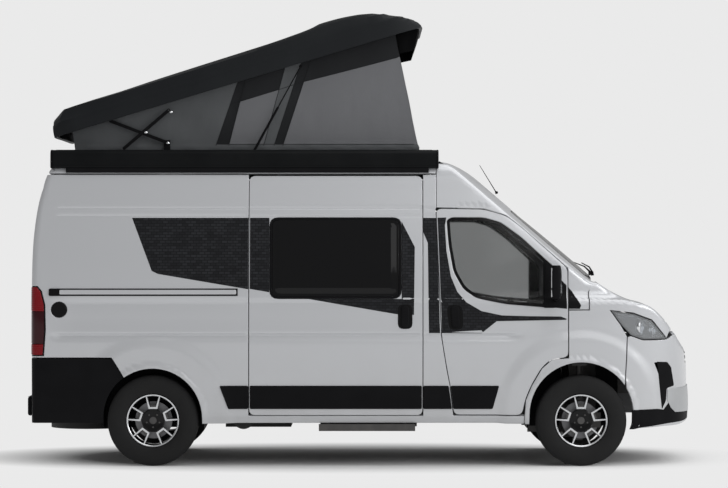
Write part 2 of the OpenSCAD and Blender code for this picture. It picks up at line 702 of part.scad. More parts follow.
wheel_c = [fa - 620, 390, 1190];   // centre of the steering wheel
column_a = 48;                     // slope of the steering column
module along_column() translate(wheel_c) rotate([0, 90 + column_a, 0]) children();
module dashboard() color(trim_black) place() {
    difference() {
        along_y(-hw + 175, hw - 175) polygon([
            [fa - 25, 900], [fa - 25, 1330], [fa - 120, 1350], [fa - 300, 1310], [fa - 400, 1230],
            [fa - 430, 1120], [fa - 430, 930], [fa - 300, 900]]);
        along_y(-far, far) arch_outline(fa, front_arch_z, front_arch_r + 16);
    }
    // steering column and its spindle
    along_column() translate([0, 0, 40]) cylinder(r = 32, h = 260);
    along_column() translate([0, 0, -10 + fit_gap]) cylinder(r = 12, h = 75);
}
module steering_wheel() color(trim_black) place() along_column() difference() {
    union() {
        rotate_extrude() translate([190, 0]) circle(r = 15);
        translate([0, 0, -14]) cylinder(r = 60, h = 34);
        for (a = [0, 120, 240]) rotate(a + 180) translate([50, -18, -6]) cube([132, 36, 12]);
    }
    translate([0, 0, -10]) cylinder(r = 12 + fit_gap, h = 100);
}
module seat(y) {
    translate([0, y, 0]) {
        block([fa - 1180, -150, floor_z], [fa - 820, 150, 800]);
        along_y(-245, 245) polygon([
            [fa - 1240, 800], [fa - 720, 800], [fa - 700, 900], [fa - 740, 950], [fa - 1120, 910],
            [fa - 1200, 1200], [fa - 1240, 1540], [fa - 1300, 1560], [fa - 1345, 1520],
            [fa - 1330, 1200]]);
        along_y(-130, 130) polygon([
            [fa - 1255, 1540], [fa - 1250, 1730], [fa - 1275, 1760], [fa - 1330, 1750],
            [fa - 1340, 1560]]);
        for (s = [-275, 245]) block([fa - 1250, s, 1080], [fa - 900, s + 30, 1140]);
    }
}
module cab_seats() color([0.16, 0.16, 0.17]) place() {
    seat(-430);
    seat(430);
}

// ---- running gear ----

module engine_block() color(steel_grey) place()
    block([fa - 10, -330, 300], [fa + 345, 330, 960]);
module front_subframe() color(trim_black) place() {
    block([fa - 110, -480, 200], [fa + 110, 480, 300]);
    both() {
        // side members up to the floor and forward to the crash beam
        block([fa - 400, -449, 240], [fa - 50, -400, floor_z - floor_t]);
        block([fa - 60 + fit_gap, -449, 240], [fa - 20, -400, 640]);
        block([fa - 60, -449, 560], [fa + 700, -400, 640]);
        // lower arm and the lower kingpin
        block([fa - 22, -king_y - 8, 200], [fa + 22, -470, 226]);
        translate([fa, -king_y, 220]) cylinder(r = kingpin_r, h = 42);
        // strut, its foot with the upper kingpin, and its tower
        block([fa - 20, -king_y - 8, 520], [fa + 20, -king_y + 107, 545]);
        translate([fa, -king_y, 478]) cylinder(r = kingpin_r, h = 50);
        translate([fa, -king_y + 107, 520]) cylinder(r = 24, h = 290);
        block([fa - 60, -king_y + 60, 800], [fa + 60, -400, 820]);
        block([fa - 60, -449, 620], [fa + 60, -400, 820]);
    }
}
module knuckle() translate([fa, -king_y, 0]) difference() {
    union() {
        block([-26, -16, 240], [26, 26, 500]);
        translate([0, 0, axle_z]) rotate([90, 0, 0]) cylinder(r = stub_r, h = scrub + 43);
        translate([0, -10, axle_z]) rotate([90, 0, 0]) cylinder(r = 45, h = 8);
        // brake calliper round the disc
        block([95, -50, axle_z - 60], [165, 10, axle_z + 60]);
        block([20, -8, axle_z - 30], [110, 10, axle_z + 30]);
    }
    block([60, -43, axle_z - 200], [157, -10, axle_z + 200]);
    translate([0, 0, 239]) cylinder(r = kingpin_r + fit_gap, h = 27);
    translate([0, 0, 474]) cylinder(r = kingpin_r + fit_gap, h = 27);
}
module knuckle_left() color(steel_grey) place() side(true) knuckle();
module knuckle_right() color(steel_grey) place() side(false) knuckle();
module rear_axle() color(trim_black) place() {
    rod_y([ra, axle_z - 80], 30, -770, 770);
    both() {
        block([ra - 30, -rear_track / 2 + 125, axle_z - 105], [ra + 30, -rear_track / 2 + 165, axle_z + 35]);
        rod_y([ra, axle_z], stub_r, -rear_track / 2 - 43, -rear_track / 2 + 130);
        // leaf spring between its pads on the chassis rail
        along_y(-515, -455) polygon([
            [ra - 640, 370], [ra - 640, 345], [ra, axle_z - 62], [ra + 640, 345], [ra + 640, 370],
            [ra + 600, 370], [ra + 560, 362], [ra, axle_z - 46], [ra - 560, 362], [ra - 600, 370]]);
    }
}
module tyre() difference() {
    rotate_extrude($fn = 96) polygon([
        [rim_r + fit_gap, -tyre_w / 2 + 22], [rim_r + 25, -tyre_w / 2 + 8],
        [tyre_r - 75, -tyre_w / 2], [tyre_r - 25, -tyre_w / 2 + 10], [tyre_r - 6, -tyre_w / 2 + 24],
        [tyre_r, -tyre_w / 2 + 42], [tyre_r, tyre_w / 2 - 42], [tyre_r - 6, tyre_w / 2 - 24],
        [tyre_r - 25, tyre_w / 2 - 10], [tyre_r - 75, tyre_w / 2], [rim_r + 25, tyre_w / 2 - 8],
        [rim_r + fit_gap, tyre_w / 2 - 22]]);
}
module rim() difference() {
    union() {
        rotate_extrude($fn = 96) polygon([
            [rim_r - 14, -tyre_w / 2 + 12], [rim_r + 10, -tyre_w / 2 + 4],
            [rim_r + 10, -tyre_w / 2 + 8], [rim_r, -tyre_w / 2 + 16], [rim_r, tyre_w / 2 - 16],
            [rim_r + 10, tyre_w / 2 - 8], [rim_r + 10, tyre_w / 2 - 4], [rim_r - 14, tyre_w / 2 - 4]]);
        for (k = [0:4]) rotate(90 + 72 * k) linear_extrude(26, center = false)
            polygon([[40, -32], [rim_r - 8, -52], [rim_r - 8, 52], [40, 32]]);
        translate([0, 0, -30]) cylinder(r = 80, h = 80);
        // brake disc
        translate([0, 0, -30]) cylinder(r = 150, h = 12);
    }
    translate([0, 0, -31]) cylinder(r = stub_r + fit_gap, h = 75);
}
// Turns a wheel's own axis outward and puts it on its axle
module on_axle(at, left) place() side(left) translate([at[0], -at[1], axle_z]) rotate([90, 0, 0])
    children();
module front_tyre_left() color(trim_black) on_axle(wheel_at[0], true) tyre();
module front_tyre_right() color(trim_black) on_axle(wheel_at[0], false) tyre();
module rear_tyre_left() color(trim_black) on_axle(wheel_at[1], true) tyre();
module rear_tyre_right() color(trim_black) on_axle(wheel_at[1], false) tyre();
module front_rim_left() color(steel_grey) on_axle(wheel_at[0], true) rim();
module front_rim_right() color(steel_grey) on_axle(wheel_at[0], false) rim();
module rear_rim_left() color(steel_grey) on_axle(wheel_at[1], true) rim();
module rear_rim_right() color(steel_grey) on_axle(wheel_at[1], false) rim();

module underfloor_tanks() color(trim_black) place() {
    // fuel tank on the left, waste tank on the right, gas tank across the rails
    block([ra + 1000, 540, 250], [fa - 700, 860, floor_z - floor_t]);
    block([ra + 560, -440, 280], [ra + 1100, 440, floor_z - floor_t]);
    rod_y([ra + 726, 380], 89, -sill_in + 20, -540);
    block([ra + 700, -hw + 160, 440], [ra + 750, -560, floor_z - floor_t]);
}
module exhaust() color(steel_grey) place() {
    translate([fa - 500, 300, 330]) rotate([0, -90, 0]) cylinder(r = 32, h = 900);
    translate([fa - 1300, 300, 330]) rotate([0, -90, 0]) cylinder(r = 95, h = 480);
    for (x = [fa - 700, fa - 1500]) block([x, 288, 340], [x + 20, 312, floor_z - floor_t]);
}
module spare_wheel() color(trim_black) place() translate([ra - 590, 0, 0]) {
    translate([0, 0, 255]) cylinder(r = tyre_r - 30, h = 165, $fn = 96);
    translate([0, 0, 420]) cylinder(r = 30, h = floor_z - floor_t - 420);
}

// ---- doors ----

module cab_door(left) side(left) difference() {
    intersection() {
        shell_skin(0, wall);
        along_y(-far, -600) cab_door_outline();
    }
    along_y(-far, far) cab_window_outline();
    for (z = cab_hinge_z) {
        translate([cab_axis[0], -cab_axis[1], z - 25 - fit_gap])
            cylinder(r = hinge_pin_r + fit_gap, h = 50 + 2 * fit_gap);
        block([cab_axis[0] - 12, -cab_axis[1] - 7, z - 7],
            [cab_axis[0] + 60, -cab_axis[1] + 200, z + 7]);
    }
}
module front_door_left() color(body_grey) place() cab_door(true);
module front_door_right() color(body_grey) place() cab_door(false);
module door_glass(left) side(left) intersection() {
    shell_skin(6, 6 + glass_t);
    along_y(-far, -600) offset(delta = -fit_gap) cab_window_outline();
}
module door_glass_left() color(glass_grey) place() door_glass(true);
module door_glass_right() color(glass_grey) place() door_glass(false);
module mirror_housing(left) side(left) difference() {
    union() {
        along_y(-mirrors_w / 2, -hw - 60) translate([fa - 214, 1484]) offset(r = 40)
            square([80, 240], center = true);
        block([fa - 190, -hw - 80, 1330], [fa - 140, -hw + 80, 1375]);
    }
    hull_solid(0);
}
module mirror_left() color(trim_black) place() mirror_housing(true);
module mirror_right() color(trim_black) place() mirror_housing(false);

module rear_door(left) side(left) {
    difference() {
        intersection() {
            shell_skin(0, wall);
            along_x(-far, rear_x + 200) mirror([1, 0]) difference() {
                rear_door_outline();
                square([shut_gap, far]);
            }
        }
        along_x(-far, far) mirror([1, 0]) rear_window_outline();
    }
    // barrels on the pins
    for (z = rear_hinge_z) difference() {
        union() {
            translate([rear_axis[0], -rear_axis[1], z - 11]) cylinder(r = lug_pin_r + 4, h = 22);
            block([rear_axis[0] - 6, -rear_axis[1], z - 11], [rear_axis[0] + 3, -rear_axis[1] + 70, z + 11]);
            block([rear_axis[0] - 6, -rear_axis[1] + 30, z - 11], [rear_x + 12, -rear_axis[1] + 70, z + 11]);
        }
        translate([rear_axis[0], -rear_axis[1], z - 20]) cylinder(r = lug_pin_r + fit_gap, h = 40);
    }
}
module rear_door_left() color(body_grey) place() rear_door(true);
module rear_door_right() color(body_grey) place() rear_door(false);
module rear_glass(left) side(left) intersection() {
    shell_skin(6, 6 + glass_t);
    along_x(-far, rear_x + 200) mirror([1, 0]) offset(delta = -fit_gap) rear_window_outline();
}
module rear_glass_left() color(glass_grey) place() rear_glass(true);
module rear_glass_right() color(glass_grey) place() rear_glass(false);

module entry_step() color(steel_grey) place() {
    block([step_x - step_l / 2, -hw + 44, step_z], [step_x + step_l / 2, -hw + 425, step_z + step_t]);
    block([step_x - step_l / 2 - 8, -hw + 32, step_z - 22], [step_x + step_l / 2 + 8, -hw + 44, step_z + 34]);
}

side_wall_left();
side_wall_right();
high_roof();
cab_frame();
floor_pan();
wheel_houses();
front_wings();
front_bumper();
crash_beam();
grille();
headlights();
windscreen();
rear_bumper();
tail_lights();
sliding_door();
side_windows();
door_rail();
awning();
roof_frame();
roof_tent();
dashboard();
cab_seats();
engine_block();
front_subframe();
rear_axle();
underfloor_tanks();
exhaust();
spare_wheel();
roof_shell();
lower_arms();
upper_arms();
strut_barrels();
strut_rods();
front_door_left();
front_door_right();
door_glass_left();
door_glass_right();
mirror_left();
mirror_right();
rear_door_left();
rear_door_right();
rear_glass_left();
rear_glass_right();
bonnet();
knuckle_left();
knuckle_right();
front_tyre_left();
front_tyre_right();
front_rim_left();
front_rim_right();
rear_tyre_left();
rear_tyre_right();
rear_rim_left();
rear_rim_right();
steering_wheel();
entry_step();
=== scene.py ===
import json
import math
import bmesh
import bpy
import numpy as np
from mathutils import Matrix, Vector
from mathutils.geometry import delaunay_2d_cdt

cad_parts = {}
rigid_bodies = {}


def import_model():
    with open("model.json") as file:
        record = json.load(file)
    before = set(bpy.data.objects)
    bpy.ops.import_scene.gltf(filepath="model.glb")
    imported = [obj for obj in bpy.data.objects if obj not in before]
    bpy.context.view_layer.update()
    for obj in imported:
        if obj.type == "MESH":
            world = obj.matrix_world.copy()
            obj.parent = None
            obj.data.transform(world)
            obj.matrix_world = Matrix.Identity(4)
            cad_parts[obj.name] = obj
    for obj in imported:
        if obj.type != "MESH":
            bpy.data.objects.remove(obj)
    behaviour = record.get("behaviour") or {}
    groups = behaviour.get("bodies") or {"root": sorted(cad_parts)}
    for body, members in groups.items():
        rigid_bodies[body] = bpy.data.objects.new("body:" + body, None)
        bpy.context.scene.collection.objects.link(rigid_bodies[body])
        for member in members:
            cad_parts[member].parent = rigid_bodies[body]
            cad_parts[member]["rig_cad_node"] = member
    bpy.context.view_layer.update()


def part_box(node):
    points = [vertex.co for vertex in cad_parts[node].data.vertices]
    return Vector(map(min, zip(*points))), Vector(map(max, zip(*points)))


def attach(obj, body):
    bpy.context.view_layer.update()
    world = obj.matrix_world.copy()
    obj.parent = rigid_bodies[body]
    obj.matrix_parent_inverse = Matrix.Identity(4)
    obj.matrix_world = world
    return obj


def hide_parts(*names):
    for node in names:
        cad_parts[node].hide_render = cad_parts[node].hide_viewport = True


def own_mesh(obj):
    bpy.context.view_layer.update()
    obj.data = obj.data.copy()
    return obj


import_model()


# shading: one class wraps a socket, so that masks are written as sums
class Sock:
    def __init__(self, tree, socket):
        self.tree = tree
        self.socket = socket

    def node(self, kind, settings, inputs, out=0):
        made = self.tree.nodes.new(kind)
        for key, value in settings.items():
            setattr(made, key, value)
        for key, value in inputs.items():
            if isinstance(value, Sock):
                self.tree.links.new(value.socket, made.inputs[key])
            else:
                made.inputs[key].default_value = value
        return Sock(self.tree, made.outputs[out])

    def math(self, operation, other=None, swap=False):
        pair = (other, self) if swap else (self, other)
        values = {i: v for i, v in enumerate(pair) if v is not None}
        return self.node("ShaderNodeMath", {"operation": operation}, values)

    def __add__(self, other):
        return self.math("ADD", other)

    def __radd__(self, other):
        return self.math("ADD", other)

    def __sub__(self, other):
        return self.math("SUBTRACT", other)

    def __rsub__(self, other):
        return self.math("SUBTRACT", other, True)

    def __mul__(self, other):
        return self.math("MULTIPLY", other)

    def __rmul__(self, other):
        return self.math("MULTIPLY", other)

    def __truediv__(self, other):
        return self.math("DIVIDE", other)

    def mix(self, low, high):
        # this socket's value carries a colour from low to high
        low, high = [end if isinstance(end, Sock) else (*end, 1) for end in (low, high)]
        return self.node("ShaderNodeMix", {"data_type": "RGBA"}, {0: self, 6: low, 7: high}, 2)


def material(name, build=None, **settings):
    # settings are constants of the Principled shader; build adds what changes over the surface
    made = bpy.data.materials.new(name)
    made.use_nodes = True
    tree = made.node_tree
    shader = tree.nodes["Principled BSDF"]
    for key, value in settings.items():
        label = key.replace("_", " ")
        shader.inputs[label].default_value = (*value, 1) if isinstance(value, tuple) else value
    if build:
        here = Sock(tree, tree.nodes.new("ShaderNodeTexCoord").outputs["Object"])
        for label, source in build(here).items():
            tree.links.new(source.socket, shader.inputs[label])
    return made


def noise(here, scale, detail=3.0, rough=0.5, stretch=None):
    at = here
    if stretch:
        at = here.node("ShaderNodeVectorMath", {"operation": "MULTIPLY"}, {0: here, 1: stretch})
    inputs = {"Vector": at, "Scale": scale, "Detail": detail, "Roughness": rough}
    return here.node("ShaderNodeTexNoise", {}, inputs)


def bump(here, height, strength, distance):
    return here.node("ShaderNodeBump", {}, {"Height": height, "Strength": strength, "Distance": distance})


def axisOf(here, name):
    return here.node("ShaderNodeSeparateXYZ", {}, {0: here}, name)


def paintNodes(here):
    # clear-coated paint: slight orange peel; darker and rougher low down, where the darker colour is painted
    # shade and the roughness a little road film
    film = (1.05 - axisOf(here, "Z")) * 1.6 * noise(here, 5.0, 5.0)
    film = film.node("ShaderNodeClamp", {}, {"Value": film})
    # painted shade: the base colour darkens towards the bottom
    return {"Base Color": (film * 0.5).mix((0.52, 0.53, 0.55), (0.40, 0.40, 0.40)),
            "Roughness": film * 0.25 + 0.3,
            "Normal": bump(here, noise(here, 260.0), 0.04, 0.0006)}


def grainNodes(low, high, rough=0.55, scale=900.0):
    def build(here):
        cloud = noise(here, 6.0, 4.0)
        return {"Base Color": cloud.mix(low, high), "Roughness": cloud * 0.2 + rough - 0.1,
                "Normal": bump(here, noise(here, scale, 2.0), 0.35, 0.0006)}
    return build


def shellNodes(here):
    cloud = noise(here, 3.0, 5.0)
    film = noise(here, 40.0, 3.0)
    return {"Base Color": cloud.mix((0.009, 0.010, 0.0115), (0.015, 0.0165, 0.018)),
            "Roughness": film * 0.16 + 0.40, "Normal": bump(here, noise(here, 700.0), 0.12, 0.0005)}


def weaveOf(here, count):
    # over and under threads of a plain weave
    scaled = here.node("ShaderNodeVectorMath", {"operation": "SCALE"}, {0: here, "Scale": count})
    x = axisOf(scaled, "X").math("SINE")
    z = (axisOf(scaled, "Z") + axisOf(scaled, "Y")).math("SINE")
    return x * z * 0.5 + 0.5


def tentNodes(low, high):
    def build(here):
        fold = noise(here, 2.2, 4.0, 0.55, (1.0, 1.0, 0.35))
        weave = weaveOf(here, 2600.0)
        creased = noise(here, 9.0, 3.0, 0.5, (1.0, 1.0, 0.4)) * 0.7 + weave * 0.05
        return {"Base Color": fold.mix(low, high), "Roughness": weave * 0.1 + 0.8,
                "Normal": bump(here, creased, 0.5, 0.012)}
    return build


def seatNodes(here):
    weave = weaveOf(here, 1500.0)
    return {"Base Color": weave.mix((0.020, 0.020, 0.022), (0.045, 0.045, 0.048)),
            "Normal": bump(here, weave, 0.5, 0.001)}


def rubberNodes(here):
    dust = noise(here, 14.0, 5.0)
    return {"Base Color": dust.mix((0.007, 0.007, 0.0075), (0.016, 0.016, 0.016)),
            "Roughness": dust * 0.25 + 0.6, "Normal": bump(here, noise(here, 500.0), 0.2, 0.0006)}


def alloyNodes(here):
    # fine lathe rings of the machined faces
    rings = noise(here, 90.0, 4.0, 0.6)
    return {"Roughness": rings * 0.18 + 0.18, "Base Color": rings.mix((0.62, 0.63, 0.65), (0.78, 0.79, 0.80))}


def castNodes(here):
    grime = noise(here, 12.0, 6.0)
    return {"Base Color": grime.mix((0.05, 0.05, 0.052), (0.13, 0.125, 0.12)),
            "Roughness": grime * 0.3 + 0.4, "Normal": bump(here, noise(here, 120.0), 0.3, 0.001)}


def decalNodes(here):
    # dark film with a faint block pattern of lighter and darker tiles
    bricks = here.node("ShaderNodeTexBrick", {"offset": 0.5}, {
        "Vector": here.node("ShaderNodeCombineXYZ", {}, {"X": axisOf(here, "X"), "Y": axisOf(here, "Z")}),
        "Color1": (0.010, 0.0105, 0.012, 1), "Color2": (0.022, 0.023, 0.026, 1),
        "Mortar": (0.006, 0.006, 0.007, 1), "Scale": 11.0, "Mortar Size": 0.03})
    return {"Base Color": bricks, "Roughness": noise(here, 30.0) * 0.15 + 0.38}


def acrylicNodes(here):
    return {"Roughness": noise(here, 8.0, 2.0) * 0.05 + 0.05}


def lensNodes(here):
    bars = axisOf(here, "Z") * 420.0
    return {"Normal": bump(here, bars.math("SINE"), 0.25, 0.002),
            "Base Color": noise(here, 3.0).mix((0.15, 0.003, 0.006), (0.22, 0.005, 0.009))}


mats = {
    "paint": material("bodyPaint", paintNodes, Metallic=0.25, Coat_Weight=0.7, Coat_Roughness=0.06),
    "black": material("grainedBlack", grainNodes((0.004, 0.004, 0.0045), (0.008, 0.008, 0.009)),
                      Specular_IOR_Level=0.06),
    "gloss": material("glossBlack", acrylicNodes, Base_Color=(0.003, 0.003, 0.0035), Specular_IOR_Level=0.25),
    "shell": material("shellSatin", shellNodes, Specular_IOR_Level=0.10),
    "lining": material("wallLining", grainNodes((0.14, 0.14, 0.145), (0.20, 0.20, 0.205), 0.7, 400.0)),
    # near-black cloth of the flap under the shell's nose: painted shade
    "flap": material("flapCloth", tentNodes((0.002, 0.002, 0.0022), (0.004, 0.004, 0.0044)),
                     Specular_IOR_Level=0.05),
    "liner": material("roofLiner", seatNodes, Roughness=0.95),
    "tent": material("tentCloth", tentNodes((0.062, 0.066, 0.070), (0.094, 0.099, 0.104))),
    "tentDark": material("tentBand", tentNodes((0.012, 0.0125, 0.0135), (0.024, 0.025, 0.027)),
                         Specular_IOR_Level=0.1),
    "tentWindow": material("tentScreen", tentNodes((0.128, 0.130, 0.138), (0.150, 0.153, 0.161)),
                           Specular_IOR_Level=0.2),
    "seat": material("seatCloth", seatNodes, Roughness=0.9),
    "rubber": material("tyreRubber", rubberNodes, Specular_IOR_Level=0.2),
    "seal": material("sealRubber", grainNodes((0.010, 0.010, 0.010), (0.018, 0.018, 0.018), 0.7)),
    "alloy": material("machinedAlloy", alloyNodes, Metallic=1.0),
    "rimBlack": material("rimBlack", acrylicNodes, Base_Color=(0.005, 0.005, 0.0055), Specular_IOR_Level=0.2),
    "cast": material("castSteel", castNodes, Metallic=0.6),
    "brake": material("brakeDisc", grainNodes((0.16, 0.16, 0.165), (0.25, 0.25, 0.26), 0.4), Metallic=0.8),
    "skid": material("skidSatin", grainNodes((0.40, 0.41, 0.42), (0.48, 0.49, 0.50), 0.4), Metallic=0.5),
    "plate": material("blankPlate", grainNodes((0.72, 0.72, 0.70), (0.80, 0.80, 0.78), 0.35, 300.0)),
    "awning": material("awningCase", grainNodes((0.005, 0.0055, 0.006), (0.009, 0.0095, 0.010), 0.35, 500.0),
                       Specular_IOR_Level=0.05),
    "under": material("underSeal", grainNodes((0.010, 0.010, 0.010), (0.020, 0.0195, 0.019), 0.7, 260.0)),
    "tread": material("stepTread", castNodes, Metallic=0.8),
    "chrome": material("brightRod", acrylicNodes, Base_Color=(0.75, 0.76, 0.78), Metallic=1.0),
    "decal": material("darkFilm", decalNodes, Specular_IOR_Level=0.12),
    "red": material("redLens", lensNodes, Roughness=0.08, Specular_IOR_Level=0.2),
    "redDark": material("smokedLens", acrylicNodes, Base_Color=(0.030, 0.002, 0.004),
                        Specular_IOR_Level=0.25),
    "clear": material("clearLens", acrylicNodes, Base_Color=(0.86, 0.89, 0.92), Transmission_Weight=0.85),
    "glass": material("tintedGlass", acrylicNodes, Base_Color=(0.66, 0.67, 0.67), Transmission_Weight=1.0,
                      IOR=1.2),
    "mirror": material("mirrorFace", acrylicNodes, Base_Color=(0.85, 0.86, 0.88), Metallic=1.0),
    "lamp": material("lampBowl", acrylicNodes, Base_Color=(0.70, 0.71, 0.73), Metallic=0.9),
}
print("materials ready")


# reference places, from the CAD boxes
def middle(node, axis):
    low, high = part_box(node)
    return (low[axis] + high[axis]) / 2


frontX = middle("front_tyre_right", 0)
rearX = middle("rear_tyre_right", 0)
axleZ = middle("front_tyre_right", 2)
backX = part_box("rear_door_right")[0][0] + 0.021
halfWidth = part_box("sliding_door")[0][1] * -1


def fromFront(*points):
    return [(frontX + a / 1000, b / 1000) for a, b in points]


def fromBack(*points):
    return [(backX + a / 1000, b / 1000) for a, b in points]


def smoothLine(points, steps=6):
    # curve through the points whose corners stay tight where the points are close
    pts = [np.array(p, float) for p in points]
    ends = [2 * pts[0] - pts[1]] + pts + [2 * pts[-1] - pts[-2]]
    out = []
    for a, b, c, d in zip(ends, ends[1:], ends[2:], ends[3:]):
        ta = 0.0
        tb = ta + math.sqrt(np.linalg.norm(b - a)) + 1e-9
        tc = tb + math.sqrt(np.linalg.norm(c - b)) + 1e-9
        td = tc + math.sqrt(np.linalg.norm(d - c)) + 1e-9
        for k in range(steps):
            t = tb + (tc - tb) * k / steps
            e = a + (b - a) * (t - ta) / (tb - ta)
            f = b + (c - b) * (t - tb) / (tc - tb)
            g = c + (d - c) * (t - tc) / (td - tc)
            m = e + (f - e) * (t - ta) / (tc - ta)
            n = f + (g - f) * (t - tb) / (td - tb)
            out.append(tuple(m + (n - m) * (t - tb) / (tc - tb)))
    return out + [tuple(pts[-1])]


class Profile:
    # signed distance to a closed outline, negative inside, read from a grid

    def __init__(self, points, low, high, step=0.006):
        self.low = low
        self.step = step
        xs = np.arange(low[0], high[0], step, dtype=np.float32)
        ys = np.arange(low[1], high[1], step, dtype=np.float32)
        x, y = np.meshgrid(xs, ys, indexing="ij")
        near = np.full(x.shape, 9.0, np.float32)
        inside = np.zeros(x.shape, bool)
        for p, q in zip(points, points[1:] + points[:1]):
            dx, dy = q[0] - p[0], q[1] - p[1]
            length = dx * dx + dy * dy
            if length < 1e-12:
                continue
            t = np.clip(((x - p[0]) * dx + (y - p[1]) * dy) / length, 0, 1)
            near = np.minimum(near, np.hypot(x - p[0] - t * dx, y - p[1] - t * dy))
            if abs(dy) > 1e-9:
                inside ^= ((p[1] > y) != (q[1] > y)) & (x < dx * (y - p[1]) / dy + p[0])
        self.grid = np.where(inside, -near, near)

    def __call__(self, x, y):
        u = np.clip((x - self.low[0]) / self.step, 0, self.grid.shape[0] - 1.001)
        v = np.clip((y - self.low[1]) / self.step, 0, self.grid.shape[1] - 1.001)
        i, j = u.astype(int), v.astype(int)
        u, v = u - i, v - j
        g = self.grid
        low = g[i, j] * (1 - u) + g[i + 1, j] * u
        high = g[i, j + 1] * (1 - u) + g[i + 1, j + 1] * u
        return low * (1 - v) + high * v


# outer surface of the body
body = {"belt": 1.345, "screenBow": 0.105, "screenStop": frontX - 1.175}
screenFoot = np.array([frontX + 0.120, 1.550])
screenTop = np.array([frontX - 0.482, 2.055])
screenUp = (screenTop - screenFoot) / np.linalg.norm(screenTop - screenFoot)
screenOut = np.array([screenUp[1], -screenUp[0]])

roofLine = fromBack((0, 300), (0, 1470), (26, 1900), (69, 2163), (147, 2395), (215, 2450), (320, 2475))
noseLine = fromFront((-1175, 2475), (-1045, 2445), (-820, 2353), (-675, 2224), (-482, 2055), (-160, 1814),
                     (120, 1550), (160, 1469), (385, 1340), (563, 1284), (659, 1203), (755, 1091), (829, 985),
                     (894, 903), (915, 790), (926, 600), (948, 535), (948, 425), (910, 319), (818, 286))
underLine = fromFront((401, 310), (380, 330))
sideView = Profile(smoothLine(roofLine) + smoothLine(noseLine, 8) + smoothLine(underLine, 2),
                   (backX - 0.3, 0.2), (frontX + 1.2, 2.6))
sectionLine = [(halfWidth - inset / 1000, z / 1000) for inset, z in (
    (60, 200), (50, 346), (27, 415), (11, 560), (4, 700), (0, 1040), (0, 1200), (6, 1330), (21, 1600),
    (41, 1800), (65, 2000), (95, 2200), (120, 2350), (155, 2420), (225, 2461), (375, 2478), (700, 2484),
    (1025, 2486))]
section = Profile(smoothLine(sectionLine) + [(-0.3, 2.486), (-0.3, 0.2)], (-0.1, 0.2), (1.3, 2.6))
wide = halfWidth + 0.012
planLine = [(backX - 0.006, 0.900), (backX + 0.010, 0.975), (backX + 0.046, 1.018), (backX + 0.106, wide)] + [
    (frontX + a / 1000, y / 1000) for a, y in (
        (-225, 1037), (0, 1031), (225, 1012), (375, 988), (525, 947), (655, 891), (755, 816), (835, 702),
        (895, 522), (935, 290), (954, 0))]
planView = Profile([(backX - 0.006, -0.3)] + smoothLine(planLine) + [(frontX + 0.954, -0.3)],
                   (backX - 0.3, -0.1), (frontX + 1.2, 1.4))
cabLine = [(backX - 0.2, halfWidth + 0.03), (frontX - 1.1, halfWidth + 0.01)] + [
    (frontX + a / 1000, y / 1000) for a, y in ((-600, 1013), (-200, 979), (140, 905), (948, 625))]
cabView = Profile([(backX - 0.2, -0.3)] + smoothLine(cabLine) + [(frontX + 0.948, -0.3)],
                  (backX - 0.3, -0.1), (frontX + 1.2, 1.4))


def smoothMax(a, b, reach):
    overlap = np.maximum(reach - np.abs(a - b), 0)
    return np.maximum(a, b) + overlap * overlap / (4 * reach)


def smoothMin(a, b, reach):
    return -smoothMax(-a, -b, reach)


def field(p):
    # how far a point lies outside the body
    x, z = p[:, 0], p[:, 2]
    y = np.abs(p[:, 1])
    out = smoothMax(sideView(x, z), section(y, z), 0.05)
    out = smoothMax(out, planView(x, y), 0.024)
    out = smoothMax(out, smoothMin(cabView(x, y), z - body["belt"], 0.07), 0.03)
    rise = (x - screenFoot[0]) * screenOut[0] + (z - screenFoot[1]) * screenOut[1]
    screen = rise + body["screenBow"] * (y / halfWidth) ** 2
    screen = smoothMin(smoothMin(screen, z - 1.480, 0.03), x - body["screenStop"], 0.05)
    return smoothMax(out, screen, 0.035)


def cast(start, along, shape):
    # walks from outside to the surface
    p = start.copy()
    for _ in range(40):
        p = p + along * shape(p)[:, None] * 0.96
    return p


# Each map turns two coordinates on a panel into a ray onto the body.
fanRear = backX + 0.700
fanFront = frontX + 0.250


def wrapRays(uv):
    # lengths round the side; at the nose and the rear the rays fan about an upright line
    u, z = uv[:, 0], uv[:, 1]
    turn = np.maximum(u - fanFront, 0) - np.maximum(fanRear - u, 0)
    out = np.stack([np.sin(turn), -np.cos(turn), np.zeros_like(u)], 1)
    base = np.stack([np.clip(u, fanRear, fanFront), np.zeros_like(u), z], 1)
    return base + out * 1.6, -out


def coreZ(x):
    return np.interp(x, [frontX - 1.0, frontX + 0.15, frontX + 0.5], [1.75, 1.10, 0.95])


def overRays(uv):
    # stations along the van, and an angle from the right side over the top to the left side
    x, turn = uv[:, 0], uv[:, 1]
    out = np.stack([np.zeros_like(x), -np.cos(turn), np.sin(turn)], 1)
    base = np.stack([x, np.zeros_like(x), coreZ(x)], 1)
    return base + out * 1.9, -out


def backRays(uv):
    start = np.stack([np.full(len(uv), backX - 0.6), uv[:, 0], uv[:, 1]], 1)
    return start, np.tile([1.0, 0.0, 0.0], (len(uv), 1))


def noseRays(uv):
    start = np.stack([np.full(len(uv), frontX + 1.6), uv[:, 0], uv[:, 1]], 1)
    return start, np.tile([-1.0, 0.0, 0.0], (len(uv), 1))


def screenRays(uv):
    # across the windscreen and up its slope
    y, s = uv[:, 0], uv[:, 1]
    start = np.stack([screenFoot[0] + screenUp[0] * s + screenOut[0] * 0.5, y,
                      screenFoot[1] + screenUp[1] * s + screenOut[1] * 0.5], 1)
    return start, np.tile([-screenOut[0], 0.0, -screenOut[1]], (len(uv), 1))


def hit(rays, points):
    start, along = rays(np.array(points, float))
    return cast(start, along, field)


def toWrap(p):
    x, y, z = p[:, 0], p[:, 1], p[:, 2]
    nose = np.arctan2(x - fanFront, -y)
    rear = np.arctan2(fanRear - x, -y)
    u = np.where(x > fanFront, fanFront + nose, np.where(x < fanRear, fanRear - rear, x))
    return np.stack([u, z], 1)


